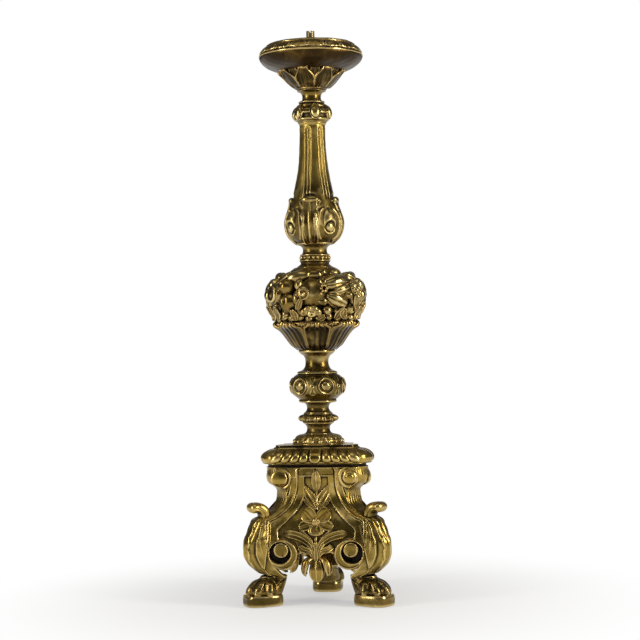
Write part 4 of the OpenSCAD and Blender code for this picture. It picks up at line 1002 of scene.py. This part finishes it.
# ------------------------------------------------------------------ base
# Lines on the right half of a face as [across, height]: the carved band's two edges, the
# step inside it, and the upright band below the mitre
GROOVE = [(33, 285), (37.5, 277), (38, 262), (38.4, 250), (39.4, 238), (44.4, 221.8), (50, 210),
    (57, 200.6), (64.4, 193), (73, 186), (83, 180), (94, 175), (96, 160), (95.5, 143), (98, 126)]
OUTER = [(55, 246), (56.4, 239), (58.6, 230), (64.6, 219), (75.5, 205.6), (89, 194), (101, 188)]
STEP = [(24, 268), (24.4, 250), (25.6, 223), (33.5, 204), (50.6, 183.6), (66, 169), (77.6, 158),
    (78.4, 150), (77, 140), (72, 132)]
CHEEK = [(97, 62), (102, 84), (108.5, 108), (113, 132), (112, 155), (105, 173)]
# The lower volute's middle, on the right half of a face
CURL, CURL_Z = 68., 108.


def panel_at(z):
    """The panel's distance from the axis, without the bend at the knee."""
    return sum(face_at(z + k) for k in (-12, -8, -4, 0, 4, 8, 12)) / 7


def signed(x, z, line, n=40):
    """Distance to a line that runs down, above nought on its outer side."""
    d, _, side = off_line(x, z, line, n)
    return d * np.where(side > 0, 1, -1)


def face_relief(x, z):
    """How far the carved face stands over the panel's ground; x is signed, seen from outside."""
    x, z = np.broadcast_arrays(x, z)
    a = np.abs(x)
    inner, step = signed(a, z, GROOVE, 80), signed(a, z, STEP, 50)
    outer = signed(a, z, OUTER, 30)
    ground = .22 * np.sin(x * 1.9 + .4 * np.sin(z * .7)) * np.sin(z * 2.1 + .5 * np.sin(x * .6))
    share = np.clip(step / np.maximum(step - inner, .1), 0, 1)
    strip = RELIEF - 2.6 + 2. * share ** 1.6 + .9 * bell(step - 1.8, 1.5)
    h = mix(ground, strip, smooth(step, -1., 1.))
    # the fascia stands over the panel, with a bead along its lower edge
    h = mix(h, RELIEF - 1.6 + .9 * bell(z - 266.4, 1.2), smooth(z, 263.2, 265.2))
    h = mix(h, RELIEF, smooth(inner, -.4, 1.4))
    h = h - 1.9 * bell(inner + .6, 1.1) + 1.1 * bell(inner - 2.2, 1.5)
    on_band = smooth(inner, 1, 6) * smooth(-outer, 1, 6) * (z < 262) * (z > 170)
    h = h - 1.5 * on_band
    near = smooth(-a, -101, -96) * smooth(-z, -247, -240)
    h = h - 1.7 * bell(outer, 1.6) * near + 1.2 * bell(outer + 2.4, 1.5) * near
    # reeds down the waist, and on the cheek of the knee a lobed leaf among reeds
    rest = corner_at(z) - a
    up = smooth(z, 186, 196) * smooth(-z, -246, -236) * smooth(outer, 1.5, 4.5)
    h = h + up * (1.1 * wave(rest / 9.4, .8) - .7)
    beyond = smooth(inner, 2, 6) * smooth(-z, -182, -170)
    h = h + beyond * (.5 * wave(rest / 8., .8) - .3)
    d, share, side = off_line(a, z, CHEEK, 40)
    wide = 15. * swell(share, .86, .1, .7)
    wide = wide * (1 - .25 * (1 - wave(share * 3.2 - .2 * side, .7)))
    e = d / np.maximum(wide, .1)
    lobes = wave(share * 3.2 - .75 * e - .2 * side, .8)
    sheet = 1.2 + 1. * bell(d, 2.) + .8 * (lobes - .55) * smooth(e, .12, .4) + .8 * bell(e - .82,
        .17)
    h = h + beyond * smooth(-e, -1.1, -.9) * sheet
    # upper volutes: a plain boss on the left, an eye in a spiral on the right
    plain = np.where(x < 0, 1., 0.)
    ux, uz = a - mix(70., 76., plain), z - mix(263., 260.4, plain)
    rho, way = np.hypot(ux, uz), np.degrees(np.arctan2(uz, -ux))
    eye_r = mix(14.6, 17., plain)
    h = mix(h, RELIEF + 2.2 - .6 * bell(rho - 19.5, 2.2) * (1 - plain), smooth(-rho, -25.4, -22.4))
    below = smooth(way, -150, -112) * smooth(-way, -62, -22)
    over = smooth(way, 60, 100) * (1 - plain)
    h = h - 3.1 * bell(rho - eye_r - 1.3, 1.7) * below - 1.1 * bell(rho - eye_r - 1., 1.5) * over
    h = h - 1.5 * bell(rho - 26.4, 1.8) * smooth(-uz, 0, 12) * smooth(a, 56, 64) * (z > 230)
    return h - 2 * smooth(eye_r - rho, 0, 2)


def curl_relief(x, z):
    """The lower volute, over its own flat back."""
    ux, uz = x - CURL, z - CURL_Z
    rho = np.hypot(ux, uz)
    eye = np.hypot(ux - 3.8, uz - 9.)
    hollow = np.hypot(ux - 6.2, uz - 3.6)
    eye_r = 16.2
    deep = smooth(-hollow, -23., -21.) * smooth(eye, 14.8, 16.4)
    ang = np.degrees(np.arctan2(uz - 9., ux - 3.8))
    closing = smooth(np.abs((ang - 135 + 180) % 360 - 180), 40, 84)
    h = 11. - .012 * (rho - 24) ** 2 + 1.2 * bell(rho - 28.6, 1.8) + 1.3 * bell(hollow - 23.8, 1.6)
    h = h - 14.5 * deep * closing - 1.4 * bell(eye - 16.6, 1.5) * (1 - closing)
    return h + smooth(-eye, -eye_r, -14.) * (3.8 * dome(eye / eye_r) + .3)


def leg_loop(z):
    """One leg's outline at every height: both faces, the nose and the back."""
    z = z[None]
    w, s = leg_at(z, 3), leg_at(z, 1) - leg_at(z, 2)
    corner = corner_at(z)
    cos, sin = .5, math.sqrt(.75)
    inner = leg_at(z, 4) - 2.5
    t = np.linspace(0, 1, 66)[:, None]
    lat = mix(inner, corner, t)
    edge = smooth(corner - lat, 0, 3.)
    ground = mix(face_at(z), panel_at(z), smooth(corner - lat, 2, 16)) - RELIEF
    sides = []
    for hand in (-1, 1):
        d = ground + mix(RELIEF, face_relief(hand * lat, z), edge) + 1.2 * bell(corner - lat - 1.6,
            1.5)
        sides.append(np.stack([d * cos + lat * sin, -hand * (d * sin - lat * cos), z + 0 * lat],
            -1))
    # the nose, with a lobed leaf down its middle and reeds beside it
    q = np.linspace(1, -1, 91)[:, None]
    a = np.abs(q)
    nose = leg_at(z, 2)
    x, y = s + nose * (1 - a ** 2.3), w * q
    nx, ny = 1 + 0 * x, 2.3 * nose / w * a ** 1.3 * np.sign(q)
    size = np.hypot(nx, ny)
    wide = np.interp(z, [64, 80, 100, 125, 150, 172, 188, 205], [.25, .5, .66, .72, .66, .58, .5,
        .4])
    wide = wide * (1 - .26 * (1 - wave((z - 62) / 23 - .5, .7)))
    e = a / wide
    on_leaf = smooth(-e, -1.05, -.94) * smooth(-z, -204, -192)
    leafy = 1.5 + 1.2 * bell(a, .1) + .7 * (wave((z - 62) / 23 - .75 * e, .6) - .6) * smooth(e, .15,
        .4) + .8 * bell(e - .86, .16)
    reeds = (1.1 - .8 * smooth(z, 232, 246)) * (wave(3 * (q + 1), .7) - .4)
    h = mix(reeds, leafy, on_leaf) * smooth(1 - a, 0, .08) * smooth(z, 60, 66)
    h = h + 3.6 * bell(z - 178, 9) * smooth(1 - a, 0, .5) - 3.2 * bell(z - 118, 44)
    front = np.stack([x + nx / size * h, y + ny / size * h, z + 0 * x], -1)
    first, last = sides[0], sides[1][::-1]
    back = [last[-1] - np.array([cos, -sin, 0]) * k for k in (3, 9, 15)]
    back += [first[0] - np.array([cos, sin, 0]) * k for k in (15, 9, 3)]
    return np.concatenate([first, front[1:-1], last, np.array(back)])


def base_leg():
    """The three legs, each with the leaf tip on its knee."""
    p = Pile().grid(leg_loop(np.linspace(LEG - .6, BOARD + .3, 220)), (True, False))
    # the fat leaf tip that curls out over the knee
    c = Clay((104, -26, 164), (172, 26, 217), cell=.8)
    for y in (-8.5, 0, 8.5):
        c.tube([(126, y * .9, 174), (127, y * .9, 187), (131, y, 196), (140, y, 201.4),
            (150.5, y * .98, 201.6)], [11, 11, 10.6, 10.2, 9.9], 5)
    c.egg(np.array([152.5, 0, 202.2]), (10.8, 18.4, 10.2), 3)
    for y in (-4.6, 4.6):
        c.tube([(115, y, 184), (119, y, 198), (130, y, 209), (146, y, 212.6), (161, y, 208)],
            [1., 1.2, 1.2, .9, .4], 1.8, take=True)
    for s in (-1, 1):
        c.tube([(128, 17 * s, 176), (133, 18 * s, 190), (142, 18.6 * s, 198), (152, 18.4 * s, 201)],
            [1.2, 1.5, 1.5, 1.], 1.5, take=True)
    c.into(p)
    for side, turn in LEGS.items():
        p.copied((turn,)).emit("leg_" + side, BASE)


def base_panel():
    """The board between two legs, with its ground, its fascia and the bands' inner edges."""
    s, v = np.linspace(-1, 1, 161)[:, None], np.linspace(0, 1, 170)[None]
    z = mix(104.5 + 0 * s, BOARD + .3, v)
    lat = s * (leg_at(z, 4) + 1.5)
    foot = 104.5 + 8.5 * np.sin(np.pi * np.clip(np.abs(lat) / 44, 0, 1)) ** 2
    foot = np.maximum(foot, CURL_Z + np.sqrt(np.clip(29 ** 2 - (np.abs(lat) - CURL) ** 2, 0, None)))
    z = mix(foot, BOARD + .3, v)
    d = panel_at(z) - RELIEF + face_relief(lat, z)
    front = np.stack([lat, -d, z], -1)
    back = front[:, ::-1] * [1, 0, 1] - np.stack([0 * lat, panel_at(z) - RELIEF - 13, 0 * z], -1)[:,
        ::-1]
    p = Pile().grid(np.concatenate([front, back], 1), (False, True))
    p.emit_faces("panel", BASE)


def base_curls():
    """The lower volutes: thick scrolls in front of the legs' faces."""
    turn = np.arange(144)[:, None] * 2 * np.pi / 144
    rho = np.concatenate([np.linspace(.2, 30.6, 50), [31.6, 32.2, 32.4]])[None]
    x, z = CURL + rho * np.cos(turn), CURL_Z + rho * np.sin(turn)
    ground, thick = 91.6, 15
    edge = smooth(-rho, -32.6, -29.2)
    front = np.stack([x, -(ground + curl_relief(x, z) * (.35 + .65 * edge)), z], -1)
    back = front[:, ::-1] * 1.
    back[..., 1] = -(ground - thick)
    rim = np.stack([x[:, -1:] + .3 * np.cos(turn), -(ground - 6) + 0 * turn,
        z[:, -1:] + .3 * np.sin(turn)], -1)
    p = Pile().grid(np.concatenate([front, rim, back], 1), (True, False))
    p.emit_faces("curls", BASE_WORN, "worn_gilding", "scrolls", mirror=True)


def base_volutes():
    """The eyes of the upper volutes: a plain boss on the left, a small spiral on the right."""
    turn, p = np.arange(108)[:, None] * 2 * np.pi / 108, Pile()
    for s, across, height, r in ((-1, 76, 260.4, 17.2), (1, 70, 263, 14.8)):
        rho = np.concatenate([np.linspace(.2, r, 42), [r + .5, r + .7]])[None]
        x, z = s * across + rho * np.cos(turn), height + rho * np.sin(turn)
        way = np.degrees(np.arctan2(np.sin(turn), -s * np.cos(turn)))
        h = 4.6 * dome(rho / r) - 5 * (rho > r)
        if s > 0:
            h = h + smooth(way, -20, 40) * (.5 * bell(rho - 11, 1.4) - 1.3 * bell(rho - 8.2, 1.3))
        p.grid(np.stack([x, -(face_at(z) + 2.2 + h), z], -1), (True, False))
    p.emit_faces("volutes", BASE)


def on_line(points, lift=0., proud=0.):
    """Places a leaf on the panel's ground along a line of [across, height]."""
    line = through(points, 60)
    line = np.hstack([line, unit(np.gradient(line, axis=0))])

    def place(u, h, t):
        x, z, dx, dz = line_at(line, t)
        x, z = x + dz * u, z - dx * u
        y = panel_at(z) - RELIEF + h + lift + proud * t ** 2
        return np.stack([x, -y, z], -1)
    return place


def on_ground(root, tip, lift=0., proud=0.):
    """The same along a straight line from root to tip."""
    root, tip = np.array(root, float), np.array(tip, float)
    return on_line([root, (root + tip) / 2, tip], lift, proud)


def lance(pile, place, wide, thick=2.4, size=(33, 60)):
    """A pointed leaf with raised edges and a raised rib."""
    leaf(pile, place, lambda t: wide * swell(t, .95, .045, .75) * (1.18 - .36 * t), thick, 1.4, .4,
        size=size, edge=1.7)


def base_flowers():
    """Each face's flower, the lances over it and the palmette under it."""
    p = Pile()
    broad = lambda w: (lambda t: w * (.4 + .6 * np.sin(np.pi * np.clip(t * .74, 0, 1)))
        * (1 - smooth(t, .88, 1.03)))
    petal = lambda w: (lambda t: w * swell(t, .76, .05, .8) * np.sqrt(1 - smooth(t, .8, 1.04)))
    lance(p, on_line([(0, 234), (0, 247), (0, 262), (-1, 281)], 3.4, 1.6), 10.6, size=(37, 70))
    leaf(p, on_ground((0, 197), (0, 242), 1.2), lambda t: 3.2 - 1.2 * t, 3., 1.2, .2, size=(17, 50))
    for s in (-1, 1):
        lance(p, on_line([(1 * s, 198), (8 * s, 215), (20 * s, 232), (27.5 * s, 250)], 1.2), 10.4,
            size=(37, 70))
        lance(p, on_line([(3 * s, 200), (14 * s, 206), (24 * s, 216), (29 * s, 228)], .8), 5., 2.,
            (21, 46))
        for a, long, wide, lift in ((-84, 29, 15, 1.), (-17, 38, 11, 1.7), (41, 37, 15.5, 2.4)):
            leaf(p, on_ground((0, 173), (s * long * cosd(a), 173 + long * sind(a)), lift, 1.4),
                petal(wide), 2.5, -.8, 1.2, .25, ribs=3, size=(37, 46), edge=1.3)
        leaf(p, on_line([(2 * s, 98), (6 * s, 118), (14 * s, 132), (28 * s, 142), (46 * s, 148),
            (66 * s, 151)], 3.6, 1.5), broad(8.6), 3., 1.3, 1.4, .5, size=(41, 96), ribs=3,
            edge=1.4)
        leaf(p, on_line([(2 * s, 100), (9 * s, 128), (22 * s, 144), (36 * s, 156)], 2., 1),
            broad(6.4), 2.6, 1.2, .9, .4, size=(27, 76), ribs=3, edge=1.2)
        leaf(p, on_line([(2 * s, 98), (11 * s, 113), (25 * s, 118), (36 * s, 126)], 3.2, 2.),
            broad(7), 2.8, 1.2, 1.2, .4, size=(27, 66), ribs=3, edge=1.4)
    leaf(p, on_ground((0, 95), (0, 143), 5.4), lambda t: 5.2 - 2.8 * t, 3., 1.4, .4, .8,
        size=(21, 60), ribs=3)
    # the flower's seeded heart
    high = 173
    y = -(panel_at(np.array(173.)) - 1.4)
    ball(p, (0, y, high), (8.8, 5.4, 8.4), n=(40, 26))
    for k in range(13):
        a, b = k * GOLDEN, math.sqrt((k + .4) / 13)
        ball(p, (7 * b * cosd(a), y - 4.8 + 3.2 * b * b, high + 6.6 * b * sind(a)), (2.1, 2.1, 2.1),
            n=(14, 10))
    p.emit_faces("flower", BASE_WORN, "worn_gilding")


def base_husks():
    """The bell flower that hangs from the middle of each face."""
    p, y = Pile(), -85.

    def petal(turn, spine, half):
        line = through(spine, 60)
        line = np.hstack([line, unit(np.gradient(line, axis=0))])

        def place(u, h, t):
            r, z, dr, dz = line_at(line, t)
            up = h - .016 * u * u
            r, z = r - dz * up, z + dr * up
            c, s = cosd(turn), sind(turn)
            return np.stack([r * c - u * s, y + r * s + u * c, z], -1)
        leaf(p, place, half, 2.6, 1.5, 1.4, .35, ribs=4, size=(41, 64), edge=1.4)
    rows = through([(3.4, 107), (4.8, 102), (5.4, 99), (8.4, 97.4), (8.8, 95.4), (7, 93.6), (9, 88),
        (10.6, 78), (9.6, 68), (6, 59), (.6, 56)], 80)
    t = np.arange(64)[:, None] * 2 * np.pi / 64
    r, z = rows[None, :, 0] + .4 * np.abs(np.cos(t * 3)), rows[None, :, 1]
    p.grid(np.stack([r * np.cos(t), y + r * np.sin(t), z + 0 * t], -1), (True, False))
    full = lambda w: (lambda t: w * swell(t, .8, .08, .8) * (1 - .5 * smooth(t, .8, 1.02)))
    for turn in (-28, -152, 24, 156):
        petal(turn, [(4, 96), (12, 99), (20, 97), (26, 90), (28.6, 80), (28, 71), (24.6, 64.5)],
            full(13.6))
    for turn in (-90, 90):
        petal(turn, [(4, 97), (9.4, 94), (13.4, 86), (15.4, 76), (14.4, 65), (10, 56), (5, 51.8)],
            full(15))
    p.emit_faces("husk", BASE_WORN, "worn_gilding")


def plan_corners():
    """The six corners of the base's plan: three long sides and three short ones."""
    reach, half = 110, 19
    corners = []
    for k in range(3):
        a = math.radians(-30 + k * 120)
        for v in (-half, half):
            corners.append((reach * math.cos(a) - v * math.sin(a), reach * math.sin(a)
                + v * math.cos(a)))
    return np.array(corners)


def moulding(pile, profile, relief=None, n=400, round_by=9.):
    """A moulding round the plan, its profile [out, height] read at n places.

    relief(mm along a side, the side's length, height) raises it.
    """
    prof = through(profile, max(24, int(np.abs(np.diff(np.array(profile), axis=0)).sum() / 1.2)))
    d = unit(np.gradient(prof, axis=0))
    base = plan_corners()
    # even points along the outline, corners rounded by blending
    edges = np.linalg.norm(np.roll(base, -1, 0) - base, axis=1)
    at = np.concatenate([[0], np.cumsum(edges)])
    m = (np.arange(n) + .5) / n * at[-1]
    k = np.searchsorted(at, m, "right") - 1
    f = (m - at[k]) / edges[k]
    rows = []
    nxt = np.roll(base, -1, 0)
    p0 = base[k] + (nxt[k] - base[k]) * f[:, None]
    t = (nxt[k] - base[k]) / edges[k][:, None]
    normal = np.stack([t[:, 1], -t[:, 0]], -1)
    # blend normals near corners so that the offset outline bends smoothly
    span = max(1, int(round_by / (at[-1] / n)))
    soft = box_blur(normal, span, 0, True)
    soft /= np.linalg.norm(soft, axis=1, keepdims=True)
    round_p = box_blur(p0, span, 0, True)
    along_side = (f - .5) * edges[k]
    for j in range(len(prof)):
        h = relief(along_side, edges[k], prof[j, 1]) if relief else 0
        o = prof[j, 0] + d[j, 1] * h
        z = prof[j, 1] - d[j, 0] * h
        q = round_p + soft * (np.array(o) + 1.5)[..., None]
        rows.append(np.concatenate([q, (z + 0 * m)[:, None]], 1))
    return pile.grid(np.stack(rows, 1), (True, False))


def gadroons(x, length, z):
    """Round-ended lobes that fan out from a broad middle tongue; one broad lobe at each corner."""
    high, a = (z - 291) / 28, np.abs(x)
    slant = a - 11. * (.45 - high) * np.clip((a - 10) / 36, 0, 1)
    pitch = 18.25
    lat = ((slant - 14.4) % pitch) - pitch / 2
    down = np.maximum(0, .34 - high) * 26
    finger = np.clip(1 - np.hypot(lat / (pitch * .53), down / 9) ** 2, 0, 1) ** .55
    reach = np.hypot(x / 13.2, np.maximum(0, .42 - high) * 26 / 11)
    tongue = .2 + .86 * np.clip(1 - reach ** 4, 0, 1) ** .7 + .2 * bell(reach - .72, .14)
    corner = .2 + .85 * dome(x / 20.) - .1 * bell(x, 2.6)
    h = np.where(length > 100, np.where(a < 14.4, tongue, finger * 1.12), corner)
    on = smooth(high, .02, .14) * smooth(-high, -1.14, -.95)
    return (5.6 * (h - .9)) * on


def base_top():
    """The three boards that close the base."""
    moulding(Pile(), [(-60, 282.6), (-1, 282.8), (.6, 284), (-.4, 285.4), (-1.4, 286.6),
        (-.8, 288.6), (1.6, 290), (3.4, 291.2), (-60, 291.8)]).emit("top_board", BASE)
    moulding(Pile(), [(-60, 290.8), (5, 290.8), (9.6, 291.8), (13.2, 294.4), (15, 298.6),
        (15.3, 303), (13.8, 308), (9.6, 312.8), (3, 316.6), (-5, 319.2), (-14, 320.6),
        (-60, 320.6)], gadroons, 840).emit("gadroon_moulding", BASE)
    moulding(Pile(), [(-80, 318.6), (-15.4, 318.8), (-13.8, 320), (-13.6, 321.6), (-15, 323.2),
        (-17.6, 324.4), (-18.6, 326), (-19, 327.6), (-20.4, 328.3), (-80, 328.4)],
        round_by=7.).emit("top_plate", BASE)


def paw_clay():
    """A clawed foot in leg-local coordinates: x outward from the stem, z up."""
    c = Clay((72, -42, PAD - 3), (180, 42, 64), cell=.75)
    c.tube([(103, 0, 62), (106, 0, 48), (114, 0, 34)], [24, 24.5, 27], 3)
    c.egg(np.array([110., 0, 46]), (30, 24, 28), 4)
    c.egg(np.array([130., 0, 30]), (37, 29, 18.5), 6)
    for turn in (-86, -43, 0, 43, 86):
        a, n = cosd(turn), sind(turn)
        c.tube([(119 + 6 * a, 8 * n, 48), (123 + 19 * a, 19 * n, 43), (125 + 30 * a, 25 * n, 36.5),
            (126 + 36 * a, 28.4 * n, 30), (126 + 37 * a, 28.8 * n, 24)], [8.6, 9.6, 9.4, 8., 6.8],
            4.)
        c.egg(np.array([125 + 24 * a, 21.5 * n, 43.6]), (7, 7, 4.8), 4.)
        c.egg(np.array([126 + 40.5 * a, 31.4 * n, 26.6]), (4. + 1.2 * abs(a), 4. + 1. * abs(n),
            4.6), 1.6)
    for turn in (-64.5, -21.5, 21.5, 64.5):
        a, n = cosd(turn), sind(turn)
        c.tube([(122 + 20 * a, 17 * n, 50), (125 + 31 * a, 24.4 * n, 44.6),
            (126 + 41.5 * a, 31.4 * n, 34.6), (126 + 43 * a, 33 * n, 23)], [.7, 1.4, 1.7, 1.6], 2.,
            take=True)
    for s in (-1, 1):
        c.tube([(82, 20 * s, 44), (96, 25 * s, 37), (108, 28 * s, 27)], [1., 1.3, 1.1], 1.4,
            take=True)
        c.tube([(84, 18 * s, 56), (100, 24 * s, 50), (112, 27 * s, 42)], [.9, 1.2, .8], 1.4,
            take=True)
    x, y, z = c.axes()
    c.keep(80 + (59 - z) * .4 + .008 * (np.abs(y) ** 2) - x, 3)
    c.keep(PAD - .4 - z, .5)
    c.keep(z - 60., 1.5)
    c.tube([(82, 22, 58.5), (100, 27, 58.2), (122, 22, 57), (134, 8, 56), (134, -8, 56),
        (122, -22, 57), (100, -27, 58.2), (82, -22, 58.5)], [1.4] * 8, 1., take=True, n=40)
    return c


def base_feet():
    """The clawed feet and the pads they stand on."""
    p = paw_clay().into(Pile())
    # the pads are rounded oblongs, a hair above the ground
    pad, middle, half_x, half_y, lift = Pile(), 133, 40.2, 32.4, .05
    t = np.arange(180)[:, None] * 2 * np.pi / 180
    prof = through([(.3, -.0), (.9, 0), (.965, .5), (.99, 3), (1., 8), (.998, 14), (.985, 18.6),
        (.955, 21), (.9, 22.1), (.3, 22.2)], 44)
    ox, oy = (np.sign(v) * np.abs(v) ** (2 / 3.1) for v in (np.cos(t), np.sin(t)))
    r, z = prof[None, :, 0], prof[None, :, 1]
    pad.grid(np.stack([middle + half_x * ox * r, half_y * oy * r, z + lift + 0 * t], -1),
        (True, False), carved=False)
    for side, turn in LEGS.items():
        p.copied((turn,)).emit("paw_" + side, WORN, "worn_gilding")
        pad.copied((turn,)).emit("pad_" + side, GILT)


for build in (base_leg, base_panel, base_curls, base_volutes, base_flowers, base_husks, base_top,
        base_feet):
    build()


# ------------------------------------------------------------------ carried-over solids
for name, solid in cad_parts.items():
    paint = {"candle_socket": IRON, "tie_rod": IRON, "rod_nut": IRON, "rod_washer": IRON,
        "paw_dowels": WOOD}.get(name, CARRIED)
    for slot in solid.material_slots:
        slot.material = paint
    if not solid.material_slots:
        solid.data.materials.append(paint)


# ------------------------------------------------------------------ floor, light and camera
def placed(name, data):
    """A new object in the scene."""
    thing = bpy.data.objects.new(name, data)
    bpy.context.scene.collection.objects.link(thing)
    return thing


def stage_floor(n=48, wide=9., below=.0012):
    """A pale floor of 2 n cells each way that shows as white far out and keeps the shadow."""
    mesh = bpy.data.meshes.new("floor")
    v = [(x * wide / n, y * wide / n, -below) for y in range(-n, n + 1) for x in range(-n, n + 1)]
    m = 2 * n + 1
    mesh.from_pydata(v, [], [(y * m + x, y * m + x + 1, (y + 1) * m + x + 1, (y + 1) * m + x)
        for y in range(2 * n) for x in range(2 * n)])
    paint, k = new_paint("floor_pale")
    path = k.add("ShaderNodeLightPath").outputs
    seen = k.math("MAXIMUM", path["Is Camera Ray"], k.math("MAXIMUM", path["Is Glossy Ray"],
        path["Is Transmission Ray"]))
    far = k.add("ShaderNodeVectorMath", {0: k.place()}, operation="LENGTH").outputs["Value"]
    dull = k.add("ShaderNodeBsdfDiffuse", {"Color": (.93, .93, .92, 1)})
    glow = k.add("ShaderNodeEmission", {"Color": (1, 1, 1, 1), "Strength": 1.})
    part = k.math("MULTIPLY", seen, k.level(far, .15, .8, .45, 1.))
    both = k.add("ShaderNodeMixShader", {0: part, 1: dull.outputs[0], 2: glow.outputs[0]})
    k.add("ShaderNodeOutputMaterial", {0: both.outputs[0]})
    mesh.materials.append(paint)
    placed("floor", mesh)


def stage_world():
    """A dim room in the gold's reflections, with a white wall behind the object."""
    world = bpy.data.worlds.new("studio")
    bpy.context.scene.world = world
    world.use_nodes = True
    n = Nodes(world.node_tree)
    path = n.add("ShaderNodeLightPath").outputs
    way = n.add("ShaderNodeTexCoord").outputs["Generated"]
    way = n.add("ShaderNodeSeparateXYZ", {0: way}).outputs
    behind = n.level(way["Y"], .86, .985)
    room = n.level(way["Z"], -.4, .9, .014, .13)
    mirror = n.math("ADD", n.math("MULTIPLY", behind, n.math("SUBTRACT", 1., room)), room)
    seen = n.math("MAXIMUM", path["Is Camera Ray"], path["Is Transmission Ray"])
    level = n.add("ShaderNodeMix", {0: path["Is Glossy Ray"], 2: .3, 3: mirror}).outputs[0]
    level = n.add("ShaderNodeMix", {0: seen, 2: level, 3: 1.}).outputs[0]
    back = n.add("ShaderNodeBackground", {"Color": (1, 1, 1, 1), "Strength": level})
    n.add("ShaderNodeOutputWorld", {0: back.outputs[0]})


def lamp(name, turn, far, height, wide, tall, level, aim=.62):
    """An area lamp in metres that looks at the height aim on the axis; level is per its area."""
    light = bpy.data.lights.new(name, "AREA")
    light.shape = "RECTANGLE"
    light.size, light.size_y = wide, tall
    light.energy = level * math.pi * wide * tall
    light.color = (1, .97, .92)
    thing = placed(name, light)
    a = math.radians(turn)
    thing.location = (far * math.cos(a), far * math.sin(a), height)
    thing.rotation_euler = (Vector((0, 0, aim)) - thing.location).to_track_quat("-Z",
        "Y").to_euler()


def stage_camera(turn=6, tilt=1.18, far=3.423, height=.567):
    """The photograph's camera, a little to the right of the front face."""
    cam = bpy.data.cameras.new("camera")
    cam.lens, cam.sensor_width = 91.7, 36
    cam.shift_x, cam.shift_y = .0056, .0148
    thing = placed("camera", cam)
    a = math.radians(turn)
    thing.location = (far * math.sin(a), -far * math.cos(a), height)
    thing.rotation_mode = "XYZ"
    thing.rotation_euler = (math.radians(90), math.radians(tilt), a)
    bpy.context.scene.camera = thing


stage_floor()
stage_world()
lamp("softbox_right", -22, 2.3, 1.15, .55, 1.5, 13.4)
lamp("softbox_left", -146, 2.3, 1.1, .5, 1.5, 9.8)
lamp("ceiling", -90, .8, 2.9, 1.6, 1.6, 1.1, aim=.4)
stage_camera()
bpy.context.scene.view_settings.view_transform = "Standard"
